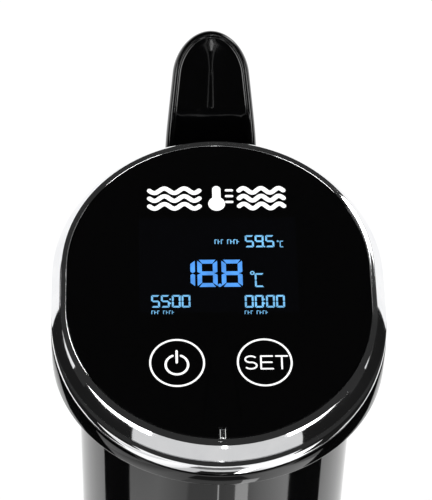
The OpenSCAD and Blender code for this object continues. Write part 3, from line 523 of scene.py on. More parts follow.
def wound_copper_painted_groove_shade():
    """Enamelled winding: thin turns side by side under a warm varnish, with painted shade: the colour darkens in the
    grooves between turns and lightens on their crests.
    """
    material = shader("wound_copper_painted_groove_shade", (0.62, 0.3, 0.08), 0.3, 0.7)
    turns = node(material, "TexWave", Scale=420, Distortion=0.4)
    turns.bands_direction = "Z"
    coordinates(material, turns)
    # painted shade and highlight: the colour follows the relief of the turns, dark in the grooves and light on the
    # crests
    vary_colour(material, turns.outputs["Fac"], (0.3, 0.12, 0.03), (0.72, 0.38, 0.12), 0.0, 1.0)
    relief(material, turns.outputs["Fac"], 0.12, 0.8)
    vary_roughness(material, noise(material, 700, 3), 0.22, 0.4)
    return material


def circuit_board():
    """Green solder mask over copper tracks."""
    material = shader("circuit_board", (0.01, 0.1, 0.045), 0.35, IOR=1.5)
    tracks = node(material, "TexVoronoi", Scale=380)
    tracks.distance = "CHEBYCHEV"
    coordinates(material, tracks)
    vary_colour(material, tracks.outputs["Distance"], (0.006, 0.06, 0.028), (0.02, 0.17, 0.075), 0.1, 0.5)
    vary_roughness(material, noise(material, 600, 3), 0.26, 0.44)
    relief(material, tracks.outputs["Distance"], 0.03, 0.4)
    return material


FINISH = {slot: plain_finish(*row) for slot, row in FINISHES.items()}
FINISH.update(steel_brushed=brushed_steel(), copper_wound=wound_copper_painted_groove_shade(), board=circuit_board())
GLOSS, CHROME, GLASS = FINISH["black_gloss"], FINISH["chrome"], FINISH["cover_glass"]


# ---------- head ----------


def bezel_ring():
    """Chrome ring round the glass: ledge, sloping lip and round bead, with a small locating tab at the front."""
    bead_r, bead_half = HEAD_R - 0.2, HEAD_HALF - 0.2
    lip_r, lip_drop, foot = GLASS_R + 1.15, 0.38, 0.3
    swell = 0.125
    part = np.linspace(0, 1, 9)
    out = np.array([BEZEL_H - foot - lip_drop, bead_r - lip_r])
    chamfer = np.stack([lip_r + out[1] * part, -lip_drop - out[0] * part], -1)
    chamfer += np.outer(4 * swell * part * (1 - part), out / np.linalg.norm(out))
    inner = [
        (GLASS_R - 2.0, GLASS_HALF, -BEZEL_H), (GLASS_R - 2.0, GLASS_HALF, -GLASS_T),
        (GLASS_R, GLASS_HALF, -GLASS_T), (GLASS_R, GLASS_HALF, -0.12), (GLASS_R + 0.02, GLASS_HALF, -0.06),
        (GLASS_R + 0.07, GLASS_HALF, -0.015), (GLASS_R + 0.14, GLASS_HALF + 0.03, 0.0),
        (GLASS_R + 0.25, bead_half, -0.015), (GLASS_R + 0.36, bead_half, -0.06),
        (lip_r - 0.22, bead_half, -lip_drop + 0.04), (lip_r - 0.08, bead_half, -lip_drop + 0.01),
    ]
    lower = [(bead_r - 0.02, bead_half, -BEZEL_H + 0.14), (bead_r - 0.12, bead_half, -BEZEL_H + 0.03),
             (bead_r - 0.3, bead_half, -BEZEL_H)]
    bead = around(inner + [(r, bead_half, h) for r, h in chamfer] + lower)
    half_w, back = 0.75, GLASS_FRONT + 2.5
    outline = [(-half_w, GLASS_FRONT), (half_w, GLASS_FRONT), (half_w, back), (-half_w, back)]
    tab = slab(rounded(outline, 0.3), -GLASS_T - 1.0, 0.12, 0.5, 7)
    points, faces = together(bead, tab)
    points = points + np.array([0, GLASS_Y, 0])
    piece("bezel_bead", on_face((points, faces)), CHROME, "bezel_ring")


def trim_band():
    """Flat chrome band under the bezel: upright walls between two planes parallel to the face, edges broken."""
    out_r, out_half, in_r = HEAD_R - 0.1, HEAD_HALF - 0.1, HEAD_R - HEAD_WALL
    edge = 0.3
    rings = []
    for level, way in ((-BEZEL_H, 1), (BAND_LOW, -1)):
        rows = [(in_r, HEAD_HALF, 0), (out_r - edge, out_half, 0), (out_r - edge * 0.3, out_half, edge * 0.3),
                (out_r, out_half, edge)]
        rings += [(r, half, face_plane(level - way * drop)) for r, half, drop in rows[::way]]
    piece("chrome_band", around(rings), CHROME, "trim_band")


def reach(radius):
    """How far each direction d of the outline runs from its centre c to a circle of that radius about the axis:
    r = -(c.d) + sqrt(R^2 - |c|^2 + (c.d)^2)."""
    c = END * HEAD_HALF
    cd = c * np.sin(ANGLE)
    return -cd + np.sqrt(radius**2 - c**2 + cd**2)


def head_shell():
    """Black shell of the head: upright wall with a rounded lower edge, and a flare r(a) = r0 - w sin a,
    z(a) = -h (1 - cos a) that runs down to the housing."""
    flat, flare_w, flare_h = 1.5, 10.5, 12.0
    edge, floor_t = 0.8, 2.5
    hole, floor_hole = reach(GRIP_R + 0.05), reach(20.0)
    inner = HEAD_R - HEAD_WALL
    rings = [(HEAD_R - back, face_plane(BAND_LOW - drop)) for back, drop in ((0.3, 0), (0.08, 0.08), (0, 0.3))]
    for x in np.radians(np.linspace(0, 90, 8)):
        rings.append((HEAD_R - edge * (1 - math.cos(x)), RIM_Z + edge * (1 - math.sin(x))))
    last = np.arcsin(np.clip((HEAD_R - flat - hole) / flare_w, -1, 1))
    for part in np.linspace(0, 1, 14):
        a = last * part
        rings.append((HEAD_R - flat - flare_w * np.sin(a), RIM_Z - flare_h * (1 - np.cos(a))))
    rings += [(hole, RIM_Z), (floor_hole, RIM_Z), (floor_hole, RIM_Z + floor_t), (inner, RIM_Z + floor_t),
              (inner, face_plane(BAND_LOW))]
    surface = around([(r, HEAD_HALF, z) for r, z in rings])
    piece("head_wall", surface, GLOSS, "head_shell", smooth=30)


def cover_glass():
    """Black glass plate: an obround disc with ground edges and a notch at the front for the locating tab."""
    r0, notch_w, notch_d = GLASS_R - GLASS_GAP, 0.85, 2.6
    rim_in, middle = 3.2, 0.02

    def outline(inset):
        r, w = r0 - inset, notch_w + inset
        arc = np.linspace(math.asin(w / r) - math.pi / 2, 0, 60)
        back = np.linspace(0, math.pi, 100)
        side = np.linspace(-1, 1, 6)[1:-1] * GLASS_HALF
        right = np.stack([r * np.cos(arc), -GLASS_HALF + r * np.sin(arc)], -1)
        straight = np.stack([r + 0 * side, side], -1)
        rear = np.stack([r * np.cos(back), GLASS_HALF + r * np.sin(back)], -1)
        floor_y = GLASS_FRONT + notch_d + inset
        half_y = (right[0][1] + floor_y) / 2
        notch = np.array([[-w, half_y], [-w, floor_y], [0, floor_y], [w, floor_y], [w, half_y]])
        return np.concatenate([right, straight, rear, straight[::-1] * [-1, 1], right[::-1] * [-1, 1], notch])

    levels = [
        (rim_in, 0.0, middle), (rim_in, 0.0, 1), (0.28, 0.0, 1), (0.1, -0.04, 1), (0.02, -0.14, 1), (0.0, -0.3, 1),
        (0.0, -GLASS_T + 0.2, 1), (0.2, -GLASS_T, 1), (rim_in, -GLASS_T, 1), (rim_in, -GLASS_T, middle),
    ]
    rings = []
    for inset, height, share in levels:
        flat = outline(inset) * share
        rings.append(np.column_stack([flat, np.full(len(flat), height)]))
    points = np.stack(rings) + np.array([0, GLASS_Y, 0])
    surface = on_face(grid(points, close_v=True, cap_ends=True))
    piece("glass_plate", surface, GLASS, "cover_glass")


# ---------- prints on the glass ----------

PRINT_LOW, PRINT_HIGH = -0.02, 0.03
PRINT_STEP = 0.0006


def face_print(name, outlines, material, high=PRINT_HIGH):
    """Flat printed or lit shapes on the glass, each a thin plate; neighbours differ a little in height."""
    plates = [slab(o, PRINT_LOW, high + PRINT_STEP * (i % 7)) for i, o in enumerate(outlines)]
    return piece(name, on_face(together(*plates)), material, weld=1e-9)


def stroke(path, width, closed=False, cap=8):
    """Outline of a line of that width along a path; an open line has round ends."""
    p = np.asarray(path, float)
    if closed:
        tangent = np.roll(p, -1, 0) - np.roll(p, 1, 0)
    else:
        tangent = np.gradient(p, axis=0)
    tangent /= np.linalg.norm(tangent, axis=1)[:, None]
    normal = np.stack([-tangent[:, 1], tangent[:, 0]], -1) * width / 2
    turn = np.linspace(0, np.pi, cap + 1)[1:-1, None]
    end = p[-1] + np.cos(turn) * normal[-1] + np.sin(turn) * tangent[-1] * width / 2
    start = p[0] - np.cos(turn) * normal[0] - np.sin(turn) * tangent[0] * width / 2
    return np.concatenate([p + normal, end, (p - normal)[::-1], start])


def circle_path(x, y, radius, start=0.0, stop=360.0, count=48):
    """Points on an arc, angles in degrees."""
    a = np.radians(np.linspace(start, stop, count))
    return np.stack([x + radius * np.cos(a), y + radius * np.sin(a)], -1)


def annulus(x, y, radius, width, count=96):
    """A flat ring as two half rings that meet."""
    return [stroke(circle_path(x, y, radius, s, s + 180, count // 2), width, cap=2) for s in (0, 180)]


SEGMENTS = {"0": "abcdef", "1": "bc", "5": "afgcd", "8": "abcdefg", "9": "abcdfg", "C": "adef"}


def digit(mark, x, y, width, height, bar):
    """Seven-segment figure with its lower left corner at (x, y): each segment is a bar whose mitred ends leave
    hairline gaps."""
    gap, mitre, h = bar * 0.09, bar * 0.9, bar / 2
    left, right, low, high, mid = x, x + width, y, y + height, y + height / 2

    def across(level, top):
        if top == 0:
            return [(left + gap + h, level), (left + gap + mitre, level - h), (right - gap - mitre, level - h),
                    (right - gap - h, level), (right - gap - mitre, level + h), (left + gap + mitre, level + h)]
        inner = level - top * bar
        return [(left + gap * 2 + h * 0.45, level), (right - gap * 2 - h * 0.45, level),
                (right - gap - bar, inner), (left + gap + bar, inner)]

    def upright(edge, side, low_y, high_y, low_mid):
        inner = edge + side * bar
        near, far = low_y + gap, high_y - gap
        if low_mid:
            return [(edge, near + h * 0.6), (edge + side * h * 1.1, near), (inner, near + h * 0.8),
                    (inner, far - bar), (edge + side * h * 0.1, far - h * 0.35), (edge, far - h)]
        return [(edge, near + h), (edge + side * h * 0.1, near + h * 0.35), (inner, near + bar),
                (inner, far - h * 0.8), (edge + side * h * 1.1, far), (edge, far - h * 0.6)]

    shapes = {
        "a": across(high, 1), "d": across(low, -1), "g": across(mid, 0),
        "b": upright(right, -1, mid, high, True), "c": upright(right, -1, low, mid, False),
        "e": upright(left, 1, low, mid, False), "f": upright(left, 1, mid, high, True),
    }
    return [np.array(shapes[s]) for s in SEGMENTS[mark]]


def number(text, x, y, width, height, bar, pitch):
    """A row of figures; a point or colon takes its own place just before the next figure."""
    shapes = []
    for mark in text:
        if mark in ".:":
            for level in ([0.42 * bar] if mark == "." else [height * 0.34, height * 0.66]):
                shapes.append(circle_path(x - (pitch - width) * 0.5, y + level, bar * 0.46, 0, 345, 16))
            x += bar * 0.6 if mark == ":" else bar * 0.35
        else:
            shapes += digit(mark, x, y, width, height, bar)
            x += pitch
    return shapes


def small_legend(x, y, width, height, marks):
    """A short row of upright and level ticks in place of a legend."""
    shapes = []
    step = width / marks
    for i in range(marks):
        left = x + i * step
        if i % 5 == 3:
            continue
        shapes.append(stroke([(left, y), (left, y + height)], height * 0.2, cap=2))
        level = y + height * (0.5 if i % 2 else 1.0)
        shapes.append(stroke([(left, level), (left + step * 0.55, level)], height * 0.18, cap=2))
    return shapes


def display_figures():
    """The lit figures, and the faint window that they stand in."""
    half_w, mid_y, half_d = 17.5, 6.0, 12.5
    window = np.array([[-half_w, -half_d], [half_w, -half_d], [half_w, half_d], [-half_w, half_d]]) + [0, mid_y]
    face_print("display_window_film", [window], FINISH["display_glass"], 0.006)
    level, height = 0.05, 7.15
    big = digit("1", -9.62, level, 4.42, height, 1.0) + digit("8", -4.66, level, 4.42, height, 1.0)
    big += [circle_path(0.25, 0.46, 0.42, 0, 345, 20)] + digit("8", 0.68, level, 4.6, height, 1.0)
    face_print("figures_large", big, lit_segment("lit_blue", (0.075, 0.36, 1.0)))
    small = number("59.5", 6.07, 10.5, 1.98, 3.22, 0.42, 2.2)
    small += number("55:00", -14.92, -5.28, 1.93, 3.24, 0.42, 2.14)
    small += number("00:00", 5.6, -5.42, 1.93, 3.24, 0.42, 2.2)
    small += digit("C", 7.96, -0.06, 2.08, 3.64, 0.4) + digit("C", 13.8, 10.46, 0.92, 1.75, 0.24)
    small += annulus(7.46, 3.66, 0.38, 0.26, 32) + annulus(13.4, 12.1, 0.16, 0.14, 24)
    for legend in ((-0.6, 11.5, 5.6, 1.05, 8), (-14.8, -6.9, 5.1, 0.78, 8), (5.56, -7.03, 5.9, 0.78, 9)):
        small += small_legend(*legend)
    face_print("figures_small", small, lit_segment("lit_pale_blue", (0.21, 0.6, 1.0)))


def key_marks():
    """White rings of the two touch keys, with an on-off mark in the left one and a setting legend in the right."""
    x, y, ring_r = 9.44, -19.4, 5.8
    shapes = annulus(-x, y, ring_r, 0.42) + annulus(x, y, ring_r, 0.42)
    shapes.append(stroke(circle_path(-x - 0.06, y - 0.48, 2.42, 112, 428, 60), 0.5))
    shapes.append(stroke([(-x - 0.08, y + 0.1), (-x - 0.08, y + 2.95)], 0.52))
    low, high, width = y - 1.62, y + 1.55, 0.36
    s_mid, upper_r, lower_r = x - 3.0, 0.95 * 0.83, 0.95 * 0.86
    bend = np.radians(40 + 230 * np.linspace(0, 1, 40))
    upper = np.stack([s_mid + 1.2 * np.cos(bend), high - upper_r + upper_r * np.sin(bend)], -1)
    bend = np.radians(90 - 230 * np.linspace(0, 1, 40))
    lower = np.stack([s_mid + 1.25 * np.cos(bend), low + lower_r + lower_r * np.sin(bend)], -1)
    e_left, e_w, t_mid = x - 0.8, 2.45, x + 3.7
    paths = [np.concatenate([upper[:-2], lower[2:]]), [(e_left, low), (e_left, high)]]
    paths += [[(e_left, level), (e_left + e_w * part, level)]
              for level, part in ((low, 1.05), (y, 0.95), (high, 1.0))]
    paths += [[(x + 2.45, high), (x + 4.9, high)], [(t_mid, high), (t_mid, low)]]
    face_print("key_marks", shapes + [stroke(path, width) for path in paths], white_print_painted_glow())


def water_mark():
    """A pictogram of a thermometer between two rows of waves, above the display."""
    y, half_h, bulb_r, stem_w = 23.85, 3.4, 1.9, 1.9
    bulb_y = y - half_h + bulb_r
    shapes = [circle_path(0, bulb_y, bulb_r, 0, 352, 40),
              stroke([(0, bulb_y), (0, y + half_h - stem_w / 2)], stem_w, cap=12)]
    for level in (2.2, 0.6, -1.0):
        shapes.append(stroke([(2.2, y + level), (3.5, y + level)], 0.6))
    s = np.linspace(0, 1, 90)
    for side, start, shift in ((-1, 3.9, np.pi), (1, 5.1, 0)):
        wave = 0.62 * np.sin(2 * np.pi * 2.5 * s + shift)
        for level in (-2.15, 0.0, 2.15):
            path = np.stack([side * (start + (15.1 - start) * s), y + level + wave], -1)
            shapes.append(stroke(path[::side], 1.12))
    face_print("water_mark", shapes, bpy.data.materials["white_print_painted_glow"])


# ---------- housing ----------


def housing_half(side):
    """One half of the handle housing: a half tube (R cos a, R sin a, z) with its screw holes or its cord hole, given
    its wall and broken edges."""
    screw_r, gland_r, gland_a = 2.8, 5.45, 135.0
    holes = []
    if side > 0:
        low_a, high_a, steps, half_cell = -90.0, 90.0, 10, 5
        mid = math.degrees(math.asin(HOUSING_SCREW_Y / GRIP_R))
        cell = (mid - 14.0, mid + 12.0)
        centres = HOUSING_SCREW_Z

        def hole(a, b, z):
            y, up = circle_outline(a, b, screw_r)
            return np.degrees(np.arcsin((HOUSING_SCREW_Y + y) / GRIP_R)), z + up
    else:
        low_a, high_a, steps, half_cell = 90.0, 270.0, 12, 8
        cell = (gland_a - 14.0, gland_a + 14.0)
        centres = (GLAND_Z,)

        def hole(a, b, z):
            across, up = circle_outline(a, b, gland_r)
            return gland_a + np.degrees(np.arcsin(across / GRIP_R)), z + up

    for z in centres:
        holes.append((*cell, z - half_cell, z + half_cell, lambda a, b, z=z: hole(a, b, z)))
    u = lines(low_a, high_a, 60, [(*cell, steps)])
    v = lines(HOUSING_Z, RIM_Z, 12, [(h[2], h[3], steps) for h in holes])
    flat, faces = pierced(u, v, holes)
    hand = "right" if side > 0 else "left"
    surface = wrapped(flat, GRIP_R, flat[:, 1]), faces
    made = piece("housing_shell_" + hand, surface, GLOSS, "housing_" + hand)
    add_wall(made, HOUSING_WALL)
    add_bevel(made, 0.1)


# ---------- lever ----------


def lever_line():
    """Middle line of the thumb lever: the curve (1-t)^3 p0 + 3t(1-t)^2 p1 + 3t^2(1-t) p2 + t^3 p3 in (y, z), its
    unit normal on the side that faces the head, and how far each point lies below the tip along 45 degrees."""
    tip = np.array([PIVOT_Y + 32.0, RIM_Z + 19.6])
    p = np.array([
        [PIVOT_Y + 1, PIVOT_Z + 2], [PIVOT_Y + 5, PIVOT_Z + 30], [PIVOT_Y + 10, PIVOT_Z + 56],
        [tip[0] + 3, tip[1] + 3 - LEVER_T / 2],
    ])
    t = np.linspace(0, 1, 500)[:, None]
    line = (1 - t) ** 3 * p[0] + 3 * t * (1 - t) ** 2 * p[1] + 3 * t**2 * (1 - t) * p[2] + t**3 * p[3]
    slope = np.gradient(line, axis=0)
    slope /= np.linalg.norm(slope, axis=1)[:, None]
    normal = np.stack([-slope[:, 1], slope[:, 0]], -1)
    below = (line - tip) @ (np.array([1, 1]) / math.sqrt(2))
    return line, normal, below


def lever_tongue():
    """The thumb lever: a tongue whose border stands up round a slightly hollow face. At distance d below the tip
    its half-width is a sin(phi) + s d with d = D (1 - cos(phi)) on the end, then a + s d, levelling off at the full
    width. Rings run round the outline at growing distances from the edge, and meet on the middle line."""
    line, normal, below = lever_line()
    tip_half, tip_depth, spread_rate, foot = 8.12, 10.0, 0.11, 66.5
    full_at, blend_from = 34.0, 22.0
    below_tip = np.concatenate([np.linspace(foot, full_at, 18), np.linspace(full_at, tip_depth, 24)[1:]])
    half = np.where(
        below_tip > blend_from,
        LEVER_HALF - spread_rate * np.maximum(full_at - below_tip, 0) ** 2 / (2 * (full_at - blend_from)),
        tip_half + spread_rate * below_tip,
    )
    phi = np.linspace(np.pi / 2, -np.pi / 2, 61)[1:-1]
    tip_d = tip_depth * (1 - np.cos(phi))
    edge_x = np.concatenate([half, tip_half * np.sin(phi) + np.sign(phi) * spread_rate * tip_d, -half[::-1]])
    edge_b = np.concatenate([-below_tip, -tip_d, -below_tip[::-1]])
    mid_b = np.concatenate([-below_tip, np.full(len(phi), -tip_depth), -below_tip[::-1]])
    reach_in = np.hypot(edge_x, edge_b - mid_b)
    edge = LEVER_T / 2
    side_in, face_in, hollow = 0.95, 1.95, 0.55
    turn = np.radians(np.linspace(-90, 90, 17))
    rim = list(zip(side_in * (1 - np.cos(turn)), edge * np.sin(turn)))
    rim += [(1.3, edge), (1.42, edge - 0.03), (1.5, edge - 0.1), (1.6, edge - 0.3), (1.7, edge - 0.4),
            (face_in, edge - 0.46)]
    rows = [(reach_in * f, -edge) for f in (1.0, 0.75, 0.5)]
    rows += [(np.minimum(i, reach_in), h) for i, h in rim]
    for f in (0.15, 0.3, 0.45, 0.6, 0.75, 0.88, 1.0):
        rows.append((face_in + (reach_in - face_in) * f, edge - 0.5 - hollow * np.sin(f * np.pi / 2) ** 2))
    rings = []
    for inset, height in rows:
        share = 1 - inset / reach_in
        x = edge_x * share
        b = mid_b + (edge_b - mid_b) * share
        y = np.interp(b, below, line[:, 0]) + np.interp(b, below, normal[:, 0]) * height
        z = np.interp(b, below, line[:, 1]) + np.interp(b, below, normal[:, 1]) * height
        rings.append(np.stack([x, y, z], -1))
    points, faces = grid(np.stack(rings))
    n, m = len(rings), len(edge_x)
    index = np.arange(n * m).reshape(n, m)
    faces.append(np.concatenate([index[:, 0], index[::-1, -1]]).tolist())
    piece("lever_tongue", (points, faces), GLOSS, "clip_lever", "lever", smooth=50)


def tube_x(outer, inner, low, high, y, z):
    """A short tube along X with broken edges."""
    profile = rounded([(inner, low), (outer, low), (outer, high), (inner, high)], [0.1, 0.3, 0.3, 0.1], 4)
    return placed(lathe(profile, 64), (0, y, z), *ALONG_X)


def lever_foot():
    """Knuckles round the hinge pin, the necks that join them to the tongue, and the jaw arm with its back rib."""
    line, normal, below = lever_line()
    room, neck_half, arm_half, rib_half = 4.0, 10.0, 10.0, 1.5
    half_t, low_z, jaw_top = LEVER_T / 2, LEVER_LOW[2], PIVOT_Z - 6.1
    shapes = []
    for side in (-1, 1):
        low, high = sorted((side * room, side * LEVER_HALF))
        shapes.append(tube_x(KNUCKLE_R, PIN_R + 0.05, low, high, PIVOT_Y, PIVOT_Z))
        b = np.linspace(below[0] + 4.6, -64.0, 8)
        section = rounded([(low, -half_t), (high, -half_t), (high, half_t), (low, half_t)], 1.2)
        x = np.broadcast_to(section[:, 0], (len(b), len(section)))
        y, z = (np.interp(b, below, line[:, k])[:, None] + np.outer(np.interp(b, below, normal[:, k]), section[:, 1])
                for k in (0, 1))
        shapes.append(grid(np.stack([x, y, z], -1), close_v=True, cap_ends=True))
        low, high = sorted((side * room, side * neck_half))
        neck = slab(rounded([(low, -8.0), (high, -8.0), (high, 0.0), (low, 0.0)], 0.4, 3), 0, LEVER_T, 0.5)
        shapes.append(placed(neck, (0, ARM_BACK, PIVOT_Z), *TO_FRONT))
    outline = [(-arm_half, low_z), (arm_half, low_z), (arm_half, jaw_top), (-arm_half, jaw_top)]
    arm = slab(rounded(outline, [3.0, 3.0, 0.6, 0.6], 8), 0, LEVER_T, 0.8, 5)
    shapes.append(placed(arm, (0, ARM_BACK, 0), *TO_FRONT))
    rib_in, rib_out = ARM_BACK - 0.85, ARM_BACK + 4.95
    rib = [(rib_in, low_z + 20), (rib_out, low_z + 22.5), (rib_out, PIVOT_Z - 9), (rib_in, PIVOT_Z - 6.2)]
    rib = slab(rounded(rib, [0.3, 2.0, 2.0, 0.3], 6), -rib_half, rib_half, 0.5, 4)
    shapes.append(placed(rib, (0, 0, 0), *ALONG_X))
    piece("lever_foot", together(*shapes), GLOSS, body="lever", smooth=40)


# ---------- wet end ----------


def steel_sleeve():
    """Stainless tube with its outlet slots and the two bayonet slots at its lower end."""
    count, half_w, cell = 14, 1.5, 4.2
    slot_low, slot_high, margin = 30.0, 50.0, 1.5
    low, high = slot_low - margin, slot_high + margin
    degrees_mm = 180 / (math.pi * TUBE_R)
    spans, holes = [], []
    for i in range(count):
        a = (i + 0.5) * 360 / count
        spans.append((a - cell, a + cell, 8))

        def outline(u, v, a=a):
            across, along = slot_outline(u, v, half_w, (slot_high - slot_low) / 2)
            return a + across * degrees_mm, (slot_low + slot_high) / 2 + along

        holes.append((a - cell, a + cell, low, high, outline))
    lug_z, lug_half, twist, entry_half = SLEEVE_LOW[2] + 5, 1.8, 22, 3.56
    gaps = []
    for turn in (0, 180):
        gaps.append((turn - 4, turn + twist + 4, lug_z - lug_half, lug_z + lug_half))
        gaps.append((turn + twist - entry_half, turn + twist + entry_half, SLEEVE_LOW[2] - 1, lug_z))
    u = np.unique(np.round(np.concatenate([lines(-6, 354, 120, spans), [e for g in gaps for e in g[:2]]]), 6))
    levels = np.linspace(SLEEVE_LOW[2], SLEEVE_HIGH[2], 10)
    v = np.unique(np.round(np.concatenate([
        levels[(levels <= low) | (levels >= high)], [lug_z - lug_half, lug_z + lug_half], np.linspace(low, high, 13),
    ]), 6))
    flat, faces = pierced(u, v, holes, gaps)
    surface = wrapped(flat, TUBE_R, flat[:, 1]), faces
    made = piece("sleeve_tube", surface, FINISH["steel_brushed"], "steel_sleeve")
    add_wall(made, 0.6)
    add_bevel(made, 0.12)


def level_marks():
    """Two etched level lines on the sleeve, each with a row of short ticks under it."""
    dark = shader("etched_mark", (0.05, 0.05, 0.055), 0.55, 0.6)
    vary_colour(dark, noise(dark, 1500, 3), (0.035, 0.035, 0.04), (0.08, 0.08, 0.085))
    inner, outer, tick_half = TUBE_R - 0.02, TUBE_R + 0.012, 0.006
    shapes = []
    for level in (66.0, 148.0):
        marks = [(np.radians(np.linspace(-130, -50, 60)), level, level + 0.5)]
        for tick in range(-4, 5):
            a = math.radians(-90 + tick * 5) + np.array([-tick_half, tick_half])
            marks.append((a, level - (3.2 if tick % 2 == 0 else 1.8), level))
        for a, low, high in marks:
            rows = [(inner, low), (outer, low), (outer, high), (inner, high)]
            shapes.append(grid(swept(rows, a), close_u=True))
    piece("level_marks", together(*shapes), dark)


def base_cap():
    """Base cap: a turned skin with side windows and slots in its floor, given its wall."""
    height, spigot_r, spigot_top = 16.0, TUBE_R - 1.0, 26.0
    fillet, wall, windows, cell = 2.5, 2.4, 18, 7.0
    side_low, side_high, floor_in, floor_out = 4.0, 13.4, 17.0, 26.0
    turn = np.radians(np.linspace(-90, 0, 9))
    profile = np.concatenate([
        [[0.0, 0.0], [floor_in, 0.0], [floor_out, 0.0]],
        np.stack([TUBE_R - fillet + fillet * np.cos(turn), fillet + fillet * np.sin(turn)], -1),
        [[TUBE_R, side_low], [TUBE_R, side_high], [TUBE_R, height - 0.4], [TUBE_R - 0.4, height],
         [spigot_r + 0.2, height], [spigot_r, height + 0.2], [spigot_r, spigot_top]],
    ])
    length = np.round(np.concatenate([[0], np.cumsum(np.linalg.norm(np.diff(profile, axis=0), axis=1))]), 6)
    low, high = (float(length[np.flatnonzero(profile[:, 1] == level)[0]]) for level in (side_low, side_high))
    spans, holes = [], []
    for i in range(windows):
        a = (i + 0.5) * 360 / windows
        spans.append((a - cell, a + cell, 8))

        def window(u, v, a=a):
            across, along = slot_outline(u, v, 1.5, 3.8)
            return a + np.degrees(across / TUBE_R), (low + high) / 2 + along

        def drain(u, v, a=a):
            across, along = slot_outline(u, v, 1.5, 3.4)
            radius = (floor_in + floor_out) / 2 - 0.1 + along
            return a + np.degrees(np.arcsin(across / radius)), radius

        holes.append((a - cell, a + cell, low, high, window))
        holes.append((a - cell, a + cell, floor_in, floor_out, drain))
    u = lines(0, 360, 36, spans)
    v = np.unique(np.round(np.concatenate([length, np.linspace(floor_in, floor_out, 9), np.linspace(low, high, 9)]), 6))
    flat, faces = pierced(u, v, holes)
    r, z = (np.interp(flat[:, 1], length, profile[:, k]) for k in (0, 1))
    made = piece(
        "cap_shell", (wrapped(flat, r, z), faces), FINISH["black_matte"], "base_cap", "base", weld=2e-6)
    add_wall(made, wall)
    add_bevel(made, 0.2)


def collar():
    """Collar between the sleeve and the housing, with a fine groove round its outer flange."""
    low, top, groove, depth = COLLAR_Z, COLLAR_Z + 10, COLLAR_Z + 6.5, 0.45
    bore, plug_r, plug_in, step = TUBE_R + 0.05, 29.05, 26.05, COLLAR_Z + 7
    profile = rounded([
        (bore, low), (GRIP_R, low), (GRIP_R, groove), (GRIP_R - depth, groove + 0.25),
        (GRIP_R - depth, groove + 0.75), (GRIP_R, groove + 1.0), (GRIP_R, top), (plug_r, top), (plug_r, top + 10),
        (plug_in, top + 10), (plug_in, step), (bore, step),
    ], [0.2, 0.9, 0.15, 0.15, 0.15, 0.15, 0.3, 0.2, 0.5, 0.3, 0.2, 0.2])
    piece("collar_ring", lathe(profile, 144), FINISH["black_matte"], "collar")


# ---------- screws, pin, gland and pads ----------


def cross_head(radius, height, shank_r, length, sides=40):
    """A screw along +Z with a domed head, whose height is the dome sqrt(1 - 0.55 (r/R)^2) less a cross recess that is
    deepest in the middle and gets shallower along two perpendicular bars."""
    r = np.array([0.0, 0.12, 0.22, 0.32, 0.42, 0.52, 0.62, 0.74, 0.86, 0.94, 0.985, 1.0]) * radius
    a = np.linspace(0, 2 * np.pi, sides, endpoint=False)
    rr, aa = np.meshgrid(r, a, indexing="ij")
    x, y = rr * np.cos(aa), rr * np.sin(aa)
    narrow = np.minimum(np.abs(x), np.abs(y)) < 0.17 * radius
    depth = height * 0.55 * np.clip(1.25 - rr / (0.6 * radius), 0, 1) * narrow
    dome = height * np.sqrt(np.clip(1 - 0.55 * (rr / radius) ** 2, 0, 1))
    dome = np.where(rr > 0.99 * radius, height * 0.45, dome)
    top = np.stack([x, y, dome - depth], -1)
    skirt = [(radius, 0.0), (shank_r, 0.0), (shank_r, -length + 0.6), (0.0, -length)]
    return grid(np.concatenate([top, swept(skirt, a)]), close_v=True)


def screws():
    """The housing's screws, along -X, and the bracket's, along -Y."""
    zinc = FINISH["zinc_screw"]
    screw = cross_head(2.6, 1.8, 1.2, 26)
    shapes = [placed(screw, (14, HOUSING_SCREW_Y, z), *ALONG_X) for z in HOUSING_SCREW_Z]
    piece("housing_screw_set", together(*shapes), zinc, "housing_screws")
    screw = cross_head(2.6, 1.8, 1.2, 9)
    shapes = [placed(screw, (x, GRIP_R + 2.8, PIVOT_Z - 10), (1, 0, 0), (0, 0, -1), (0, 1, 0)) for x in (-7, 7)]
    piece("bracket_screw_set", together(*shapes), zinc, "bracket_screws")


def hinge_pin():
    """Steel pin with chamfered ends."""
    low, high, cut = PIN_LOW[0], PIN_HIGH[0], 0.4
    profile = [(0, low), (PIN_R - cut, low), (PIN_R, low + cut), (PIN_R, high - cut), (PIN_R - cut, high), (0, high)]
    pin = placed(lathe(profile, 48, False), (0, PIVOT_Y, PIVOT_Z), *ALONG_X)
    piece("hinge_pin_steel", pin, FINISH["steel_plain"], "hinge_pin", BODY_OF["hinge_pin"])


def cord_gland():
    """Rubber gland of the cord inlet: a flange against the housing and a ribbed sleeve round the hole."""
    bore, sleeve, flange = 3.6, 5.4, 7.5
    start, seat, end = GRIP_R - 7.0, GRIP_R - 1.1, GRIP_R + 9.0
    profile = [(bore, start), (sleeve, start), (sleeve, seat), (flange, seat), (flange, GRIP_R + 1.3),
               (flange - 0.7, GRIP_R + 2.0), (sleeve + 0.1, GRIP_R + 2.0)]
    for rib in np.arange(GRIP_R + 2.6, end - 1.4, 1.7):
        profile += [(sleeve, rib), (sleeve - 0.7, rib + 0.3), (sleeve - 0.7, rib + 0.7), (sleeve, rib + 1.0)]
    profile += [(sleeve - 0.1, end - 0.7), (sleeve - 0.6, end), (bore + 0.3, end), (bore, end - 0.4)]
    d = math.sqrt(0.5)
    gland = placed(lathe(profile, 72), (0, 0, GLAND_Z), (d, d, 0), (0, 0, 1), (-d, d, 0))
    piece("gland_rubber", gland, FINISH["rubber_black"], "cord_gland")


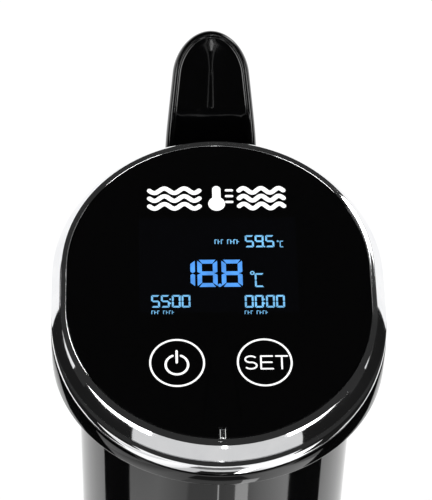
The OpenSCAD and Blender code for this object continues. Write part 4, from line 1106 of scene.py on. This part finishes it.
def jaw_pad():
    """Rubber pad of the jaw: its profile in (y, z) has round-bottomed grooves between level ribs, and it is extruded
    across with turned edges."""
    low, high = box_mm("jaw_pad")
    grooves, depth, z0, z1 = 6, 1.2, low[2], high[2]
    front, back, pitch = low[1], high[1], (z1 - z0) / (grooves + 1)
    outline = [(back, z0), (front, z0)]
    for z in z0 + pitch * np.arange(1, grooves + 1):
        outline += [(front, z - 0.9), (front + depth, z - 0.5), (front + depth, z + 0.5), (front, z + 0.9)]
    outline += [(front, z1), (back, z1)]
    pad = placed(slab(rounded(outline, 0.45, 4), low[0], high[0], 0.5, 4), (0, 0, 0), *ALONG_X)
    piece("jaw_pad_rubber", pad, FINISH["rubber_black"], "jaw_pad", "lever")


def body_pad():
    """Rubber pad on the housing: it hugs the round wall, and its face has level waves w(z) = 0.35 (0.5 - 0.5
    cos(2 pi 7 t))^3, with t from 0 to 1 up the pad, and turned edges."""
    low, high = box_mm("body_pad")
    half, front, z0, z1 = high[0], high[1], low[2], high[2]
    side_edge, end_edge, waves = 0.5, 0.6, 7
    x = np.concatenate([[-half], np.linspace(-half + side_edge, half - side_edge, 25), [half]])
    levels = np.linspace(z0, z1, 70)
    rise = 0.35 * (0.5 - 0.5 * np.cos((levels - z0) / (z1 - z0) * 2 * np.pi * waves)) ** 3
    edge = np.minimum(np.minimum(levels - z0, z1 - levels), end_edge) / end_edge
    out = front - 0.35 - 0.4 * (1 - edge) + rise
    side = np.minimum((half - np.abs(x)) / side_edge, 1)
    xx, zz = np.meshgrid(x, levels)
    face_rows = np.stack([xx, out[:, None] - 0.5 * (1 - side), zz], -1)
    back_rows = np.stack([xx, np.sqrt(GRIP_R**2 - xx**2) + 0.02, zz], -1)[::-1]
    loop = np.concatenate([face_rows, back_rows])
    points, faces = grid(loop, close_u=True)
    index = np.arange(loop.shape[0] * loop.shape[1]).reshape(loop.shape[:2])
    for column in (0, -1):
        front_col, back_col = index[:len(levels), column], index[:len(levels) - 1:-1, column]
        faces += np.stack([front_col[:-1], front_col[1:], back_col[1:], back_col[:-1]], -1).tolist()
    piece("body_pad_rubber", (points, faces), FINISH["rubber_black"], "body_pad")


def build():
    """Makes every piece; what has no surface of its own is a finished copy of its CAD node."""
    for make in (bezel_ring, trim_band, head_shell, cover_glass, display_figures, key_marks, water_mark):
        make()
    for side in (-1, 1):
        housing_half(side)
    for make in (lever_tongue, lever_foot, steel_sleeve, level_marks, base_cap, collar, screws, hinge_pin, cord_gland,
                 jaw_pad, body_pad):
        make()
    edges = {"clip_bracket": 0.5, "clip_spring": 0, "heater_loop_left": 0, "heater_loop_right": 0, "sleeve_seal": 0,
             "ribbon_cable": 0.1, "power_board": 0.1, "display_board": 0.1, "cooling_fan": 0.12, "pump_housing": 0.2}
    for name in sorted(NODES):
        if not NODES[name].hide_render:
            finished_copy(name, edges.get(name, 0.15))


# ---------- stage, light and camera ----------


HEAD_TOP = RIM_Z * MM
MIRRORED_WORLD = 0.03
# Panels round the head that its polished parts mirror: azimuths, elevations, distance and brightness
PANELS = (
    ("front_panel", -49, 46, -12, 25, 0.6, 0.72),
    ("upper_left_panel", -78, -36, 13, 46, 0.5, 5.0),
    ("upper_right_panel", 36, 74, 13, 46, 0.5, 5.0),
    ("side_left_panel", -128, -90, 5, 32, 0.5, 0.9),
    ("side_right_panel", 90, 128, 5, 32, 0.5, 0.9),
    ("back_panel", 112, 248, 1, 13, 0.9, 0.7),
    ("streak_a", 1.5, 3.2, 48, 62, 0.45, 5.0),
    ("streak_b", -1.2, -0.2, 20, 60, 0.45, 1.2),
    ("streak_c", 1.5, 4.0, 15, 32, 0.45, 4.5),
    ("streak_d", 6.5, 7.5, 18, 58, 0.45, 0.8),
)
# Black cards beside the object: the ends of each one's foot, and its lowest and highest edge
CARDS = (
    ("left_card", (-0.2, -0.2), (-0.059, 0.048), (0.001, 0.381)),
    ("left_rear_card", (-0.2, -0.2), (0.048, 0.1), (0.095, 0.38)),
    ("left_far_card", (-0.36, -0.47), (-0.35, -0.09), (0.001, 0.447)),
    ("right_card", (0.2, 0.2), (-0.11, 0.022), (0.001, 0.381)),
    ("right_rear_card", (0.2, 0.2), (0.022, 0.1), (0.095, 0.38)),
    ("right_far_card", (0.34, 0.45), (-0.36, -0.12), (0.001, 0.447)),
)
# Brightness of the floor in front, across it
FLOOR_HALF, FLOOR_TOP = 0.32, 2.5
FLOOR_LEVELS = ((-0.32, 0.7), (-0.28, 0.8), (-0.2, 1.3), (-0.14, 1.05), (-0.11, 0.95), (-0.1, 0.62), (-0.02, 0.64),
                (0.08, 0.7), (0.15, 1.3), (0.22, 1.75), (0.27, 1.95), (0.32, 1.95))


def mirrored_only(made):
    """A stage object that is seen only in what mirrors it."""
    made.visible_camera = made.visible_diffuse = made.visible_shadow = False


def flat_object(name, points, faces, material):
    """A stage object from points in metres."""
    mesh = bpy.data.meshes.new(name)
    mesh.from_pydata([tuple(p) for p in points], [], faces)
    mesh.materials.append(material)
    return added(name, mesh)


def quad(name, corners, material):
    """A stage object with one four-sided face."""
    return flat_object(name, corners, [(0, 1, 2, 3)], material)


def glow(name, strength):
    """A plain white emitter for a light panel."""
    material = bpy.data.materials.new(name)
    material.use_nodes = True
    material.node_tree.nodes.clear()
    emit = node(material, "Emission", Color=(1, 1, 1, 1), Strength=strength)
    link(material, emit.outputs["Emission"], node(material, "OutputMaterial"), "Surface")
    return material


def bent_panel(name, from_deg, to_deg, low_deg, high_deg, radius, material):
    """Panel bent round the head: it spans two azimuths, counted from the front towards +X, and two elevations."""
    a = np.radians(np.linspace(from_deg, to_deg, 25))
    levels = [HEAD_TOP + radius * math.tan(math.radians(e)) for e in (low_deg, high_deg)]
    points = [(x, y, z) for z in levels for x, y in zip(radius * np.sin(a), -radius * np.cos(a))]
    n = len(a)
    return flat_object(name, points, [(i, i + 1, n + i + 1, n + i) for i in range(n - 1)], material)


def area_light(name, place, aim, size, power):
    """A soft rectangular lamp."""
    lamp = bpy.data.lights.new(name, "AREA")
    lamp.shape = "RECTANGLE"
    lamp.size, lamp.size_y = size
    lamp.energy = power
    made = added(name, lamp)
    made.location = place
    made.rotation_mode = "QUATERNION"
    made.rotation_quaternion = (Vector(aim) - Vector(place)).to_track_quat("-Z", "Y")
    return made


def floor_patch(name, x, y, z, material):
    """Flat patch just above the floor."""
    return quad(name, [(x[0], y[0], z), (x[1], y[0], z), (x[1], y[1], z), (x[0], y[1], z)], material)


def surroundings():
    """White all round, which polished parts mirror only faintly."""
    world = bpy.data.worlds.new("surroundings")
    bpy.context.scene.world = world
    world.use_nodes = True
    background = world.node_tree.nodes["Background"]
    background.inputs["Color"].default_value = (1, 1, 1, 1)
    dim = node(world, "MapRange", To_Min=1.0, To_Max=MIRRORED_WORLD)
    link(world, node(world, "LightPath").outputs["Is Glossy Ray"], dim, "Value")
    link(world, dim.outputs["Result"], background, "Strength")


def floor_light():
    """Glow of the floor in front, whose strength runs along X as FLOOR_LEVELS says."""
    material = glow("floor_light", 1.0)
    parts = node(material, "SeparateXYZ")
    across = node(material, "MapRange", From_Min=-FLOOR_HALF, From_Max=FLOOR_HALF)
    ramp = node(material, "FloatCurve")
    curve = ramp.mapping.curves[0]
    places = [((x + FLOOR_HALF) / (2 * FLOOR_HALF), level / FLOOR_TOP) for x, level in FLOOR_LEVELS]
    for place in places[1:-1]:
        curve.points.new(*place)
    for point, place in zip(curve.points, places):
        point.location = place
        point.handle_type = "VECTOR"
    ramp.mapping.update()
    scaled = node(material, "Math")
    scaled.operation = "MULTIPLY"
    scaled.inputs[1].default_value = FLOOR_TOP
    coordinates(material, parts)
    link(material, parts.outputs["X"], across, "Value")
    link(material, across.outputs["Result"], ramp, "Value")
    link(material, ramp.outputs["Value"], scaled, 0)
    link(material, scaled.outputs["Value"], material.node_tree.nodes["Emission"], "Strength")
    return material


def stage():
    """White floor and surroundings, the panels, cards and floor patches that the polished parts mirror, two of the
    patches being painted shadows on the floor, and a lamp behind."""
    surroundings()
    white = shader(
        "white_floor", (0.93, 0.93, 0.93), 0.9, Specular_IOR_Level=0.0, Emission_Color=(1, 1, 1, 1),
        Emission_Strength=0.12)
    half = 12.0
    floor_patch("floor", (-half, half), (-half, half), 0, white)
    black = glow("black_card", 0.012)
    for name, *place, power in PANELS:
        mirrored_only(bent_panel(name, *place, glow(name + "_light", power)))
    for name, x, y, z in CARDS:
        corners = [(x[0], y[0], z[0]), (x[1], y[1], z[0]), (x[1], y[1], z[1]), (x[0], y[0], z[1])]
        mirrored_only(quad(name, corners, black))
    mirrored_only(floor_patch("front_floor", (-FLOOR_HALF, FLOOR_HALF), (-0.5, -0.05), 0.0005, floor_light()))
    # painted shadow: a grey patch on the floor in front, seen only in what mirrors it, that stands in for the camera
    # stand's shadow
    mirrored_only(floor_patch("far_floor_painted_shadow", (-0.12, 0.12), (-0.6, -0.352), 0.001, glow("grey_painted_shadow", 0.16)))
    # painted shadow: a black patch on the floor in front, seen only in what mirrors it, that stands in for the shade
    # under the head
    mirrored_only(floor_patch("near_floor_painted_shadow", (-0.05, 0.06), (-0.24, -0.1), 0.001, black))
    (near, far), (left, right), height = (0.12, 0.335), np.radians([15.5, 26]), 0.0015
    wedge = [(r * math.sin(a), -r * math.cos(a), height)
             for r, a in ((near, left), (near, right), (far, right), (far, left))]
    mirrored_only(quad("floor_strip", wedge, glow("strip_light", 3.6)))
    area_light("rear_lamp", (0.75, 0.9, 0.95), (0, 0, 0.3), (0.35, 0.9), 7).visible_diffuse = False


def camera():
    """Camera in front of the head, looking down at the face."""
    data = bpy.data.cameras.new("camera")
    data.sensor_width = 36.0
    data.lens = 172.22
    data.clip_start, data.clip_end = 0.01, 50
    made = added("camera", data)
    azimuth, elevation, roll = map(math.radians, (-2.782, 48.403, 1.787))
    back = Vector((math.sin(azimuth) * math.cos(elevation), -math.cos(azimuth) * math.cos(elevation),
                   math.sin(elevation)))
    right = Vector((math.cos(azimuth), math.sin(azimuth), 0))
    up = back.cross(right)
    level_right = math.cos(roll) * right + math.sin(roll) * up
    level_up = -math.sin(roll) * right + math.cos(roll) * up
    made.rotation_mode = "QUATERNION"
    made.rotation_quaternion = Matrix((level_right, level_up, back)).transposed().to_quaternion()
    made.location = Vector((-17.54, -342.54, RIM_Z + 414.49)) * MM
    bpy.context.scene.camera = made


camera()
build()
stage()
bpy.context.scene.view_settings.view_transform = "Standard"

bpy.context.view_layer.update()
